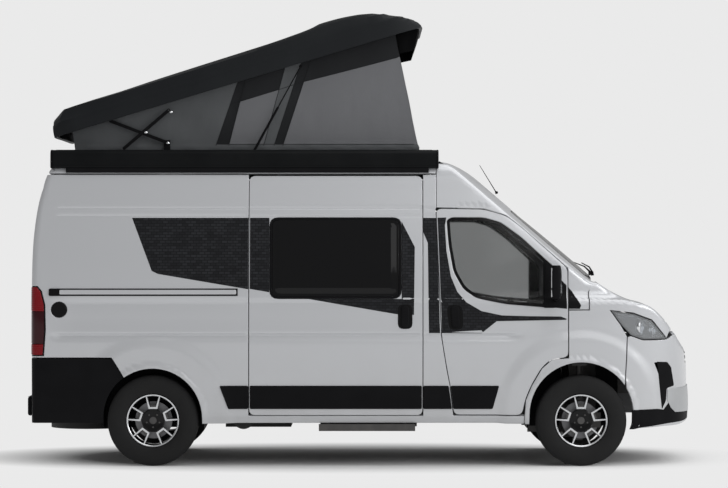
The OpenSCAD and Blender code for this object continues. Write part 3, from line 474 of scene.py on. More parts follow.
def toOver(p):
    return np.stack([p[:, 0], np.arctan2(p[:, 2] - coreZ(p[:, 0]), -p[:, 1])], 1)


def sideRays(uv):
    start = np.stack([uv[:, 0], np.full(len(uv), -1.6), uv[:, 1]], 1)
    return start, np.tile([0.0, 1.0, 0.0], (len(uv), 1))


def topRays(uv):
    start = np.stack([uv[:, 0], uv[:, 1], np.full(len(uv), 3.0)], 1)
    return start, np.tile([0.0, 0.0, -1.0], (len(uv), 1))


def resample(points, spacing, closed=True):
    # corners stay, long runs are divided
    pts = [np.array(p, float) for p in points]
    ends = pts[1:] + ([pts[0]] if closed else [])
    out = []
    for a, b in zip(pts, ends):
        count = max(1, int(math.ceil(np.linalg.norm(b - a) / spacing)))
        out += [tuple(a + (b - a) * k / count) for k in range(count)]
    if not closed:
        out.append(tuple(pts[-1]))
    return out


def redraw(points, first, then, spacing=0.03, closed=False):
    # a line drawn in one map, carried over the surface into another
    return [tuple(p) for p in then(hit(first, resample(points, spacing, closed)))]


# panels
def insideLoop(points, loop):
    x, y = points[:, 0], points[:, 1]
    inside = np.zeros(len(points), bool)
    for p, q in zip(loop, np.roll(loop, -1, 0)):
        if abs(q[1] - p[1]) > 1e-12:
            inside ^= ((p[1] > y) != (q[1] > y)) & (x < (q[0] - p[0]) * (y - p[1]) / (q[1] - p[1]) + p[0])
    return inside


def loopDistance(points, loop):
    near = np.full(len(points), 9.0)
    for p, q in zip(loop, np.roll(loop, -1, 0)):
        d = q - p
        t = np.clip(((points - p) @ d) / max(d @ d, 1e-12), 0, 1)
        near = np.minimum(near, np.hypot(*(points - p - t[:, None] * d).T))
    return near


def area(loop):
    x, y = np.array(loop).T
    return 0.5 * np.sum(x * np.roll(y, -1) - y * np.roll(x, -1))


def inset(loop, amount):
    # moves a loop to its left, which is into a panel whose outline turns left
    pts = np.array(loop, float)
    run = np.roll(pts, -1, 0) - pts
    run /= np.maximum(np.linalg.norm(run, axis=1), 1e-9)[:, None]
    left = np.stack([-run[:, 1], run[:, 0]], 1)
    back = np.roll(left, 1, 0)
    share = 1 + np.sum(left * back, 1)
    return pts + amount * (left + back) / np.maximum(share, 0.35)[:, None]


def grow(loop, amount):
    turned = loop if area(loop) > 0 else loop[::-1]
    return [tuple(p) for p in inset(turned, -amount)]


def rounded(loop, radius, steps=4, corners=None):
    pts = [np.array(p, float) for p in loop]
    out = []
    for i, p in enumerate(pts):
        if corners is not None and i not in corners:
            out.append(tuple(p))
            continue
        a, b = pts[i - 1] - p, pts[(i + 1) % len(pts)] - p
        la, lb = np.linalg.norm(a), np.linalg.norm(b)
        cut = min(radius, 0.45 * la, 0.45 * lb)
        first, last = p + a / la * cut, p + b / lb * cut
        for k in range(steps + 1):
            t = k / steps
            out.append(tuple((1 - t) ** 2 * first + 2 * t * (1 - t) * p + t * t * last))
    return out


def arc(x, z, radius, start, stop, step=6):
    count = max(2, int(abs(stop - start) / step))
    angles = [math.radians(start + (stop - start) * k / count) for k in range(count + 1)]
    return [(x + radius * math.cos(a), z + radius * math.sin(a)) for a in angles]


def slope(value, spots, step):
    # direction in which a field rises fastest
    out = np.stack([value(spots + axis) - value(spots - axis) for axis in np.eye(3) * step], 1)
    return out / np.maximum(np.linalg.norm(out, axis=1), 1e-12)[:, None]


def surface(rays, uv, dent=None):
    # points on the body and their normals, with and without the ribs and grooves
    step = 0.006
    start, along = rays(np.array(uv, float))
    spots = cast(start, along, field)
    plain = slope(field, spots, step)
    if dent is None:
        return spots, plain, plain
    shaped = slope(lambda p: field(p) - dent(p), spots, step)
    return spots + plain * dent(spots)[:, None], shaped, plain


def buildMesh(name, verts, faces, coats, faceCoats=None, normals=None, rideOn="van", stands=(),
              slotName=None):
    mesh = bpy.data.meshes.new(name)
    mesh.from_pydata([tuple(v) for v in verts], [], [tuple(int(i) for i in f) for f in faces])
    for coat in coats:
        mesh.materials.append(mats[coat])
    if faceCoats is not None:
        mesh.polygons.foreach_set("material_index", np.array(faceCoats, np.int32))
    if normals is not None:
        mesh.polygons.foreach_set("use_smooth", np.ones(len(faces), bool))
        mesh.normals_split_custom_set([tuple(n) for n in normals])
    obj = bpy.data.objects.new(name, mesh)
    bpy.context.scene.collection.objects.link(obj)
    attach(obj, rideOn)
    if stands:
        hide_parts(*([stands] if isinstance(stands, str) else stands))
    return obj


# heights where the pressed lines of the sides need rows of points
creaseRows = (1.000, 1.020, 1.036, 1.046, 1.053, 1.060, 1.066, 1.072, 1.079,
              2.001, 2.007, 2.013, 2.019, 2.025, 2.064, 2.070, 2.076, 2.082, 2.088)
beltRows = (1.320, 1.335, 1.350)


def fillRings(rings, spacing, rows):
    # points and triangles between an outline and its holes, and where each ring's points went
    low, high = rings[0].min(0), rings[0].max(0)
    xs = np.arange(low[0] + spacing / 2, high[0], spacing)
    ys = np.arange(low[1] + spacing / 2, high[1], spacing)
    if len(rows):
        ys = np.array([y for y in ys if min(abs(y - r) for r in rows) > spacing * 0.3] + list(rows))
    grid = np.stack(np.meshgrid(xs, ys, indexing="ij"), -1).reshape(-1, 2)
    keep = insideLoop(grid, rings[0]) & (loopDistance(grid, rings[0]) > spacing * 0.4)
    for ring in rings[1:]:
        keep &= ~insideLoop(grid, ring) & (loopDistance(grid, ring) > spacing * 0.4)
    points = np.concatenate(rings + [grid[keep]])
    starts = np.cumsum([0] + [len(ring) for ring in rings])
    edges = [(first + i, first + (i + 1) % (last - first)) for first, last in zip(starts, starts[1:])
             for i in range(last - first)]
    flat, _, tris, sources, _, _ = delaunay_2d_cdt([Vector(p) for p in points], edges, [], 0, 1e-7)
    flat = np.array([tuple(v) for v in flat])
    place = np.zeros(len(points), int)
    for i, source in enumerate(sources):
        place[list(source)] = i
    tris = np.array([t for t in tris if len(t) == 3])
    centre = flat[tris].mean(1)
    keep = insideLoop(centre, rings[0])
    for ring in rings[1:]:
        keep &= ~insideLoop(centre, ring)
    tris = tris[keep]
    used = np.unique(tris)
    fresh = np.full(len(flat), -1)
    fresh[used] = np.arange(len(used))
    return flat[used], fresh[tris], [fresh[place[first:last]] for first, last in zip(starts, starts[1:])]


def turnOver(faces, normals):
    # the same faces seen from behind, with the normals of their corners in step
    starts = np.cumsum([0] + [len(f) for f in faces])
    corners = [normals[first:last][::-1] for first, last in zip(starts, starts[1:])]
    return [f[::-1] for f in faces], np.concatenate(corners)


def panel(name, rays, outline, holes=(), depth=0.03, spacing=0.026, hem=0.004, dent=None, lift=0.0,
          rows=(), coats=("paint", "lining"), sides="right", **where):
    # a curved sheet with a rolled edge; coats names the finish, or the outer and the inner one
    coats = (coats, coats) if isinstance(coats, str) else coats
    loops = [np.array(resample(loop, spacing), float) for loop in (outline, *holes)]
    loops[0] = loops[0] if area(loops[0]) > 0 else loops[0][::-1]  # outlines turn left, holes turn right
    loops[1:] = [h if area(h) < 0 else h[::-1] for h in loops[1:]]
    rings = [inset(p, hem) for p in loops]
    if rays is wrapRays:
        rows = tuple(rows) + creaseRows
    flat, tris, ringIds = fillRings(rings, spacing, rows)
    spots, shaped, plain = surface(rays, flat, dent)
    spots = spots + plain * lift
    n = len(flat)
    face = np.cross(spots[tris[:, 1]] - spots[tris[:, 0]], spots[tris[:, 2]] - spots[tris[:, 0]])
    flip = np.sum(face * plain[tris[:, 0]]) < 0
    verts = [spots, spots - plain * depth]
    faces = [list(t) for t in tris] + [[t[2] + n, t[1] + n, t[0] + n] for t in tris]
    kinds = [0] * len(tris) + [1] * len(tris)
    normals = [shaped[i] for t in tris for i in t] + [-plain[i] for t in tris for i in (t[2], t[1], t[0])]
    total = 2 * n
    for loop, ids in zip(loops, ringIds):
        edge, edgeShaped, edgePlain = surface(rays, loop, dent)
        edge = edge + edgePlain * lift
        m = len(loop)
        rim = edge - edgePlain * min(hem * 0.9, depth * 0.5)
        foot = edge - edgePlain * depth
        verts += [rim, foot]
        away = edge - spots[ids]
        away /= np.maximum(np.linalg.norm(away, axis=1), 1e-9)[:, None]
        bent = edgeShaped * 0.45 + away * 0.9
        bent /= np.linalg.norm(bent, axis=1)[:, None]
        for i in range(m):
            j = (i + 1) % m
            if ids[i] < 0 or ids[j] < 0:
                continue
            faces += [[ids[i], total + i, total + j, ids[j]],
                      [total + i, total + m + i, total + m + j, total + j],
                      [total + m + i, ids[i] + n, ids[j] + n, total + m + j]]
            kinds += [0, 0, 1]
            normals += [shaped[ids[i]], bent[i], bent[j], shaped[ids[j]], away[i], away[i], away[j], away[j],
                        -edgePlain[i], -plain[ids[i]], -plain[ids[j]], -edgePlain[j]]
        total += 2 * m
    verts = np.concatenate(verts)
    normals = np.array(normals)
    if sides != "right":
        other = verts * [1, -1, 1]
        otherFaces, otherNormals = turnOver(faces, normals)
        otherNormals = otherNormals * [1, -1, 1]
        if sides == "left":
            verts, faces, normals = other, otherFaces, otherNormals
        else:
            faces = faces + [[i + len(verts) for i in f] for f in otherFaces]
            verts = np.concatenate([verts, other])
            normals = np.concatenate([normals, otherNormals])
            kinds = kinds * 2
    if flip:
        faces, normals = turnOver(faces, normals)
    return buildMesh(name, verts, faces, coats, kinds, normals, **where)


# solids for trim and gear
def sweptFaces(n):
    # two flat ends of n points each and the walls between them
    return [list(range(n)), list(range(2 * n - 1, n - 1, -1))] + [
        [(i + 1) % n, i, i + n, (i + 1) % n + n] for i in range(n)]


def ringFaces(rings, n):
    # walls through a row of rings of n points each, closed at both ends
    walls = [[k * n + i, k * n + (i + 1) % n, (k + 1) * n + (i + 1) % n, (k + 1) * n + i]
             for k in range(rings - 1) for i in range(n)]
    return walls + [list(range(n))[::-1], [(rings - 1) * n + i for i in range(n)]]


class Shape:
    # gathers closed solids of several finishes into one piece

    def __init__(self):
        self.verts = []
        self.faces = []
        self.kinds = []
        self.coats = []

    def add(self, verts, faces, coat, mirror=False):
        if coat not in self.coats:
            self.coats.append(coat)
        kind = self.coats.index(coat)
        base = len(self.verts)
        self.verts += [tuple(v) for v in verts]
        self.faces += [[i + base for i in f] for f in faces]
        self.kinds += [kind] * len(faces)
        if mirror:
            self.add([(v[0], -v[1], v[2]) for v in verts], [f[::-1] for f in faces], coat)
        return self

    def bevelled(self, verts, faces, coat, bevel):
        work = bmesh.new()
        made = [work.verts.new(v) for v in verts]
        for f in faces:
            work.faces.new([made[i] for i in f])
        if bevel:
            work.normal_update()
            sharp = [e for e in work.edges if e.calc_face_angle(0) > 0.5]
            bmesh.ops.bevel(work, geom=sharp, offset=bevel, segments=2, affect="EDGES", clamp_overlap=True)
        work.verts.index_update()
        out = [tuple(v.co) for v in work.verts], [[v.index for v in f.verts] for f in work.faces]
        work.free()
        return self.add(*out, coat)

    def box(self, low, high, coat, bevel):
        (x0, y0, z0), (x1, y1, z1) = low, high
        loop = [(x0, z0), (x1, z0), (x1, z1), (x0, z1)]
        return self.prism(loop, y0, y1, coat, bevel)

    def prism(self, loop, y0, y1, coat, bevel):
        # a side view pushed across the van
        loop = loop if area(loop) > 0 else loop[::-1]
        verts = [(x, y0, z) for x, z in loop] + [(x, y1, z) for x, z in loop]
        return self.bevelled(verts, sweptFaces(len(loop)), coat, bevel)

    def tube(self, path, radius, coat, sides=12, mirror=False, flat=1.0):
        pts = [np.array(p, float) for p in path]
        radii = radius if isinstance(radius, (list, tuple)) else [radius] * len(pts)
        verts = []
        side = None
        for i, p in enumerate(pts):
            run = pts[min(i + 1, len(pts) - 1)] - pts[max(i - 1, 0)]
            run /= np.linalg.norm(run)
            if side is None:
                side = np.cross(run, [0, 0, 1] if abs(run[2]) < 0.9 else [1, 0, 0])
            side = side - run * (side @ run)
            side /= np.linalg.norm(side)
            up = np.cross(run, side)
            for k in range(sides):
                a = 2 * math.pi * k / sides
                verts.append(p + radii[i] * (side * math.cos(a) + up * math.sin(a) * flat))
        return self.add(verts, ringFaces(len(pts), sides), coat, mirror)

    def lathe(self, profile, centre, coat, outward=-1, steps=72, closed=True, mirror=False):
        # profile holds (radius, distance outward from the centre), turned about an axis across the van
        verts, faces = [], []
        n = len(profile)
        for k in range(steps):
            a = 2 * math.pi * k / steps
            verts += [(centre[0] + r * math.cos(a), centre[1] + outward * t, centre[2] + r * math.sin(a))
                      for r, t in profile]
        runs = n if closed else n - 1
        for k in range(steps):
            j = (k + 1) % steps
            for i in range(runs):
                m = (i + 1) % n
                faces.append([k * n + i, j * n + i, j * n + m, k * n + m])
        if not closed:
            faces.append([k * n for k in range(steps)][::-1])
            faces.append([k * n + n - 1 for k in range(steps)])
        if outward > 0:
            faces = [f[::-1] for f in faces]
        return self.add(verts, faces, coat, mirror)

    def finish(self, name, sharp=35, **where):
        obj = buildMesh(name, self.verts, self.faces, self.coats, self.kinds, **where)
        work = bmesh.new()
        work.from_mesh(obj.data)
        bmesh.ops.remove_doubles(work, verts=work.verts, dist=1e-6)
        bmesh.ops.recalc_face_normals(work, faces=work.faces)
        work.to_mesh(obj.data)
        work.free()
        obj.data.polygons.foreach_set("use_smooth", np.ones(len(obj.data.polygons), bool))
        obj.data.set_sharp_from_angle(angle=math.radians(sharp))
        return obj


midX = (frontX + rearX) / 2


def at(x, y, z):
    return (midX + x / 1000, y / 1000, z / 1000)


def mm(points):
    return [(midX + x / 1000, z / 1000) for x, z in points]


def overlay(name, loops, coat, thick, sink=0.001, sides="both", radius=0.0, hem=0.002, **where):
    # a piece that stands proud of the skin by thick and keys into it by sink
    outline, *holes = [rounded(mm(loop), radius) if radius else mm(loop) for loop in loops]
    return panel(name, wrapRays, outline, holes, thick + sink, lift=thick, hem=hem, dent=wallDent,
                 coats=coat, sides=sides, **where)


# side walls, roof and doors
gap = 0.006
pillarX = frontX - 1.167
slideEnds = {"rear": rearX + 0.776, "front": frontX - 1.278}
arches = {"front": (frontX, 0.420, 0.418), "rear": (rearX, 0.390, 0.398)}  # centre and radius


def ramp(value, low, high):
    t = np.clip((value - low) / (high - low), 0, 1)
    return t * t * (3 - 2 * t)


def ridge(value, centre, half):
    return 1 - ramp(np.abs(value - centre), 0, half)


def wallDent(p):
    x, y, z = p[:, 0], np.abs(p[:, 1]), p[:, 2]
    out = np.zeros(len(p))
    # two pressed lines under the roof and the crease at the belt
    along = ramp(x, backX + 0.19, backX + 0.24) * (1 - ramp(x, pillarX - 0.05, pillarX + 0.02))
    out -= 0.005 * (ridge(z, 2.076, 0.012) + ridge(z, 2.013, 0.012)) * along
    crease = ramp(x, backX + 0.1, backX + 0.4) * (1 - ramp(x, frontX - 0.35, frontX - 0.15))
    out -= 0.010 * ramp(z, 1.352, 1.318) * ramp(z, 1.02, 1.20) * crease
    # the hollow band along the doors
    band = ramp(x, backX + 0.15, backX + 0.26) * (1 - ramp(x, frontX - 0.60, frontX - 0.45))
    out -= 0.016 * ramp(z, 1.076, 1.056) * ramp(z, 1.000, 1.050) * band
    # flared lips of the wheel arches
    for axle, centre, radius in (arches["front"], arches["rear"]):
        away = np.hypot(x - axle, np.maximum(z - centre, 0)) - radius
        out += 0.007 * (1 - ramp(away, 0.022, 0.050)) * (y > 0.6) * (np.abs(x - axle) < 0.5)
        out += 0.012 * (1 - ramp(away, 0.17, 0.28)) * (y > 0.6) * (np.abs(x - axle) < 0.75) * (z > 0.30)
    return out


backDoor = [(-0.0035, 0.560), (-0.895, 0.560), (-0.895, 1.500), (-0.881, 1.900), (-0.835, 2.250),
            (-0.805, 2.349), (-0.0035, 2.349)]
cabDoor = rounded(fromFront(
    (-1167, 2074), (-784, 2068), (-599, 2014), (-476, 1921), (-275, 1741), (-108, 1592), (-108, 879),
    (-246, 864), (-326, 792), (-406, 655), (-455, 535), (-479, 415), (-1025, 415), (-1055, 655),
    (-1079, 776), (-1122, 1037)), 0.045)
slideDoor = rounded([(slideEnds["rear"], 0.410), (slideEnds["front"], 0.410),
                     (slideEnds["front"], 2.340), (slideEnds["rear"], 2.340)], 0.05)
sideWindow = rounded([(slideEnds["rear"] + 0.165, 1.349), (slideEnds["front"] - 0.170, 1.349),
                      (slideEnds["front"] - 0.170, 2.003), (slideEnds["rear"] + 0.165, 2.003)], 0.07)
tailLamp = [(0.110, 0.890), (0.125, 1.100), (0.120, 1.300), (0.092, 1.410), (0.060, 1.448)]


def backEdge(points):
    return redraw(points, backRays, toWrap)


lampBack = backEdge([(-0.930, 1.450), (-0.930, 0.890)])
lampLoop = redraw([(backX + a, z) for a, z in tailLamp], sideRays, toWrap) + lampBack
doorSide = backEdge([(-0.902, 0.876), (-0.902, 1.500), (-0.888, 1.900), (-0.842, 2.250), (-0.815, 2.350)])
archBack = arc(*arches["rear"], 125.0, 0.0)
wallFoot = [(rearX - 0.327, 0.876)] + archBack + [(rearX + 0.398, 0.346)]
sillFront = [(frontX - 0.462, 0.346), (frontX - 0.460, 0.406)]
doorBack = fromFront((-1031, 406), (-1061, 655), (-1085, 776), (-1128, 1037), (-1173, 2072))
wallTop = [(pillarX, 2.084), (pillarX, 2.350)]
notch = [(slideEnds["front"] + gap, 2.350), (slideEnds["front"] + gap, 0.404),
         (slideEnds["rear"] - gap, 0.404), (slideEnds["rear"] - gap, 2.350)]
wallStart = wallFoot + sillFront + doorBack + wallTop

fillerCap = {"at": (rearX - 0.752, 1.261), "radius": 0.062}
cap = redraw(arc(*fillerCap["at"], fillerCap["radius"], 0, 342, 18), sideRays, toWrap, 0.015, closed=True)
panel("rightSide", wrapRays, wallStart + notch + doorSide[::-1],
                  [grow(lampLoop, 0.002), grow(cap, 0.003)], 0.045, dent=wallDent,
                  rows=beltRows, stands="side_wall_right", slotName="body_paint")
panel("leftSide", wrapRays, wallStart + doorSide[::-1],
                 [grow(lampLoop, 0.002), grow(sideWindow, 0.001)], 0.045, dent=wallDent, sides="left",
                 rows=beltRows, stands="side_wall_left", slotName="body_paint")
panel("fillerFlap", wrapRays, cap, depth=0.006, dent=wallDent, coats=("gloss", "black"),
      slotName="black_trim")
panel("slidingDoor", wrapRays, slideDoor, [grow(sideWindow, 0.001)], 0.045, dent=wallDent,
               rows=beltRows, stands="sliding_door", slotName="body_paint")

contour = redraw([(fanRear - math.pi / 2, 2.362), (fanRear - 0.45, 2.362), (fanRear, 2.362),
                  (pillarX - 0.003, 2.362)], wrapRays, toOver, 0.04)
highRoof = contour + [(x, math.pi - turn) for x, turn in contour[::-1][:-1]]
panel("highRoof", overRays, highRoof, depth=0.03, hem=0.006, spacing=0.04, stands="high_roof",
      slotName="body_paint")
print("side walls and roof ready")


# cab, its doors and glass
cabWindow = rounded(fromFront(
    (-1083, 1983), (-1044, 2006), (-783, 2006), (-644, 1967), (-476, 1844), (-275, 1659), (-205, 1596),
    (-205, 1280), (-229, 1275), (-599, 1306), (-845, 1352), (-952, 1429), (-1029, 1567), (-1067, 1782)), 0.04)
cabWindow = [(x - 0.002, z) for x, z in cabWindow]
screenLoop = [(-0.785, -0.020), (0.785, -0.020), (0.775, 0.300), (0.700, 0.830), (-0.700, 0.830),
              (-0.775, 0.300)]
screenLoop = rounded(screenLoop, 0.05)

doorTop = redraw(fromFront((-1167, 2085), (-784, 2077), (-596, 2021), (-471, 1927), (-270, 1747),
                           (-101, 1597), (-101, 1262)), sideRays, toOver)
pillarFoot = redraw(fromFront((-101, 1262), (60, 1262), (60, 1400), (112, 1466)), sideRays, toOver)[1:]
screenRight = [(-0.790, -0.020), (-0.780, 0.300), (-0.704, 0.835), (0.0, 0.835)]
screenRight = rounded(screenRight, 0.05, corners=(1, 2))
screenEdge = redraw(screenRight, screenRays, toOver)
cabRight = doorTop + pillarFoot + screenEdge
cabLoop = [(pillarX + 0.003, math.pi / 2)] + [(pillarX + 0.003, cabRight[0][1])] + cabRight[1:-1]
cabLoop += [(x, math.pi - turn) for x, turn in cabLoop[1:][::-1]]


def cabDent(p):
    x, y, z = p[:, 0], np.abs(p[:, 1]), p[:, 2]
    # drip rail over the doors
    return -0.004 * ridge(z, 2.098, 0.010) * (x < frontX - 0.75) * (y > 0.5)


panel("cabFrame", overRays, cabLoop, depth=0.030, hem=0.005, dent=cabDent, stands="cab_frame",
      slotName="body_paint")
for sideName in ("right", "left"):
    door = "cab_door_" + sideName
    panel("cabDoor" + sideName.title(), wrapRays, cabDoor, [cabWindow], 0.045, dent=wallDent, sides=sideName,
          rows=beltRows, rideOn=door, stands="front_door_" + sideName, slotName="body_paint")
    panel("cabGlass" + sideName.title(), wrapRays, inset(cabWindow[::-1], 0.004), depth=0.005, lift=-0.007,
          hem=0.001, coats="glass", sides=sideName, rideOn=door,
          stands="door_glass_" + sideName, slotName="glass")
    # painted shade: a gloss black band round the inside of the window frame
    shadeLoop = [grow(cabWindow, -0.002), grow(cabWindow, -0.026)]
    panel("glassBand" + sideName.title(), wrapRays, shadeLoop[0], [shadeLoop[1]], 0.0012, lift=-0.0055,
          hem=0.0005, coats="gloss", sides=sideName, rideOn=door, slotName="black_trim")
    fixed = rounded(fromFront((-305, 1275), (-210, 1275), (-208, 1590), (-305, 1680)), 0.01)
    panel("doorQuarter" + sideName.title(), wrapRays, fixed, depth=0.0015, lift=-0.0040, hem=0.0005,
          coats="black", sides=sideName, rideOn=door, slotName="black_trim")
    backBody = "back_door_" + sideName
    window = [(-0.070, 1.370), (-0.790, 1.370), (-0.778, 1.690), (-0.750, 1.970), (-0.070, 1.970)]
    window = rounded(window, 0.07)
    panel("backDoor" + sideName.title(), backRays, rounded(backDoor, 0.05, corners=(2, 5)), [window], 0.045,
          sides=sideName, rideOn=backBody, stands="rear_door_" + sideName, slotName="body_paint")
    panel("backGlass" + sideName.title(), backRays, grow(window, -0.003), depth=0.005, lift=-0.005, hem=0.001,
          coats="gloss", sides=sideName, rideOn=backBody, stands="rear_glass_" + sideName,
          slotName="glass")

panel("windscreen", screenRays, grow(screenLoop, -0.004), depth=0.005, lift=-0.004, hem=0.001,
      coats="glass", stands="windscreen", slotName="glass")
panel("screenBand", screenRays, grow(screenLoop, -0.003), [grow(screenLoop, -0.055)], 0.001, lift=-0.0025,
      hem=0.0005, coats="gloss", slotName="black_trim")


# wings, bonnet, bumper and lamps
bonnetPlan = fromFront((150, -740), (380, -780), (560, -760), (740, -722))
lampFace = fromFront((237, 1253), (421, 1228), (575, 1171), (700, 1023), (606, 1018), (503, 1018),
                     (401, 1053), (328, 1130))
archFront = arc(*arches["front"], 180.0, 34.0)


def noseDent(p):
    x, y, z = p[:, 0], np.abs(p[:, 1]), p[:, 2]
    out = wallDent(p)
    # two soft ridges run down the bonnet
    ridgeY = 0.50 - 0.22 * ramp(x, frontX + 0.2, frontX + 0.85)
    rise = ramp(y, ridgeY - 0.05, ridgeY) * (1 - ramp(y, ridgeY, ridgeY + 0.16))
    out += 0.010 * rise * (z > 1.0) * (y < 0.74)
    return out


wingSide = redraw(fromFront((-101, 1255), (-101, 872), (-240, 857), (-318, 786), (-399, 652), (-448, 533),
                            (-455, 409), (-455, 346), (-418, 346)) + archFront
                  + fromFront((349, 700), (369, 1043), (321, 1128), (228, 1257), (421, 1236), (580, 1178),
                              (704, 1030)), sideRays, toOver)
wingInner = fromFront((745, -728), (560, -766), (380, -786), (150, -746), (118, -800))
wingInner = redraw(wingInner, topRays, toOver)
wingBack = redraw(fromFront((67, 1402), (67, 1255)), sideRays, toOver)
panel("wings", overRays, wingSide + wingInner + wingBack, depth=0.022, dent=noseDent, sides="both",
      stands="front_wings", slotName="body_paint")
lip = redraw([(-0.722, 1.094), (-0.600, 1.090), (-0.300, 1.088), (0.0, 1.088)], noseRays, toOver)
bonnetRight = redraw(bonnetPlan, topRays, toOver) + lip
bonnetLoop = bonnetRight + [(x, math.pi - turn) for x, turn in bonnetRight[::-1][1:]]
panel("bonnet", overRays, bonnetLoop, depth=0.022, dent=noseDent, rideOn="bonnet", stands="bonnet",
      slotName="body_paint")

noseU = fanFront + math.pi / 2


def overNose(points):
    # the same points on the left side of the nose
    return [(2 * noseU - u, z) for u, z in points]


bumperSide = redraw(fromFront((418, 310), (418, 420)) + arc(*arches["front"], 0.0, 30.0)
                    + fromFront((356, 700), (376, 1038), (401, 1046), (503, 1011), (606, 1011), (703, 1016)),
                    sideRays, toWrap)
bumperTop = redraw([(-0.760, 1.060), (-0.722, 1.082), (-0.300, 1.080), (0.0, 1.080)], noseRays, toWrap)
bumperFoot = redraw([(0.0, 0.345), (-0.300, 0.345), (-0.600, 0.335), (-0.780, 0.320)], noseRays, toWrap)
bumperLoop = bumperSide + bumperTop[:-1]
bumperLoop += overNose(bumperLoop[::-1])
footRight = bumperFoot[::-1][:-1]
bumperLoop += overNose(footRight) + [(noseU, 0.345)] + footRight[::-1]


def noseOpening(points):
    # an opening across the nose, from its right half
    right = redraw(points, noseRays, toWrap)[1:-1]
    return right + overNose(right[::-1])


grilleLoop = noseOpening([(0.0, 0.800), (-0.560, 0.815), (-0.600, 0.900), (-0.590, 1.000), (0.0, 1.010)])
intakeLoop = noseOpening([(0.0, 0.470), (-0.480, 0.475), (-0.520, 0.560), (-0.500, 0.640), (0.0, 0.650)])
ventRight = fromFront((595, 833), (690, 822), (735, 740), (745, 648), (677, 628))
ventRight = rounded(redraw(ventRight, sideRays, toWrap), 0.02)
ventLeft = overNose(ventRight)
panel("frontBumper", wrapRays, bumperLoop, [grilleLoop, intakeLoop, ventRight, ventLeft], 0.022,
      dent=noseDent, stands="front_bumper", slotName="body_paint")
for name, loop in (("grilleBack", grilleLoop), ("intakeBack", intakeLoop), ("ventBackRight", ventRight),
                   ("ventBackLeft", ventLeft)):
    panel(name, wrapRays, grow(loop, 0.010), depth=0.004, lift=-0.040, coats="black",
          slotName="black_trim")
print("cab and nose ready")


# trim on the sides
claddingLoops = {
    "Quarter": ([(-1186, 649), (-955, 649), (-955, 462), (-1116, 462)], "van"),
    "Slider": ([(-943, 649), (441, 649), (441, 462), (-943, 462)], "van"),
    "Pillar": ([(453, 649), (657, 649), (683, 462), (453, 462)], "van"),
    "Door": ([(672, 649), (1063, 649), (1011, 462), (695, 462)], "cab_door_")}
for part, (loop, rider) in claddingLoops.items():
    for sideName in ("right", "left"):
        overlay("cladding" + part + sideName.title(), [loop], "black", 0.011, radius=0.012, hem=0.006,
                sides=sideName, rideOn=rider if rider == "van" else rider + sideName, slotName="black_trim")

windowHole = [(-786, 1347), (279, 1347), (279, 2005), (-786, 2005)]
filmLoops = {
    "Quarter": ([[(-1894, 2000), (-956, 2000), (-956, 1425), (-1682, 1548), (-1732, 1572)]], "van"),
    "Slider": ([[(-943, 2000), (262, 2004), (385, 1765), (378, 1219), (236, 1225), (-943, 1428)],
                windowHole], "van"),
    "Pillar": ([[(453, 1885), (490, 1797), (498, 1073), (588, 1073), (562, 1999), (453, 2000)]], "van"),
    "Door": ([[(602, 1073), (921, 1071), (1044, 1168), (1598, 1179), (1609, 1186), (1560, 1206), (1291, 1209),
               (1085, 1215), (921, 1250), (798, 1322), (727, 1404), (675, 1528), (640, 1733), (628, 1938),
               (640, 2003), (569, 2001), (600, 1200)]], "cab_door_")}
for part, (loops, rider) in filmLoops.items():
    for sideName in ("right", "left"):
        overlay("film" + part + sideName.title(), loops, "decal", 0.0009, 0.0004, sides=sideName, hem=0.0004,
                rideOn=rider if rider == "van" else rider + sideName)

doorCup = [(640, 1300), (770, 1300), (776, 1100), (660, 1096)]
doorGrip = [(668, 1290), (742, 1290), (748, 1118), (682, 1114)]


def doorHandle(cupName, gripName, cup, grip, radius, **where):
    # a glossy cup in the skin and the grip that stands over it
    panel(cupName, wrapRays, rounded(mm(cup), radius), depth=0.004, lift=0.002, hem=0.0015, dent=wallDent,
          coats="gloss", slotName="black_trim", **where)
    panel(gripName, wrapRays, rounded(mm(grip), 0.03), depth=0.024, lift=0.022, hem=0.010, spacing=0.02,
          dent=wallDent, coats="black", slotName="black_trim", **where)


for sideName in ("right", "left"):
    door = "cab_door_" + sideName
    doorHandle("handleCup" + sideName.title(), "handleBar" + sideName.title(), doorCup, doorGrip, 0.05,
               sides=sideName, rideOn=door)
sliderCup = [(248, 1303), (366, 1303), (366, 1106), (248, 1106)]
sliderGrip = [(272, 1292), (338, 1292), (338, 1118), (272, 1118)]
doorHandle("sliderCup", "sliderHandle", sliderCup, sliderGrip, 0.045)

overlay("doorRail", [[(-2500, 1431), (-1040, 1431), (-1040, 1371), (-2500, 1371)]], "black", 0.004,
                   sides="right", stands="door_rail", slotName="black_trim")
overlay("railBead", [[(-2440, 1420), (-1052, 1420), (-1052, 1383), (-2440, 1383)]], "paint", 0.012, -0.0035,
        sides="right", hem=0.005, radius=0.01, slotName="body_paint")
overlay("railEnd", [[(-2506, 1430), (-2436, 1430), (-2436, 1372), (-2506, 1372)]], "black", 0.0118, 0.002,
        sides="right", hem=0.004, radius=0.012, slotName="black_trim")


def paneDent(p):
    # moulded pane: a raised field inside a flat border
    x, z = p[:, 0] - midX, p[:, 2]
    edge = np.minimum(np.minimum(x + 0.784, 0.277 - x), np.minimum(z - 1.349, 2.003 - z))
    return wallDent(p) + 0.010 * ramp(edge, 0.040, 0.085) + 0.004 * ramp(edge, 0.08, 0.30)


panel("windowFrame", wrapRays, grow(sideWindow, -0.0005), [grow(sideWindow, -0.020)], 0.030, lift=0.004,
      hem=0.004, dent=wallDent, coats="black", sides="both", slotName="dark_acrylic")
panel("windowPane", wrapRays, grow(sideWindow, -0.0215), depth=0.020, lift=0.003, hem=0.003, dent=paneDent,
      coats="gloss", sides="both", stands="side_windows", slotName="dark_acrylic")


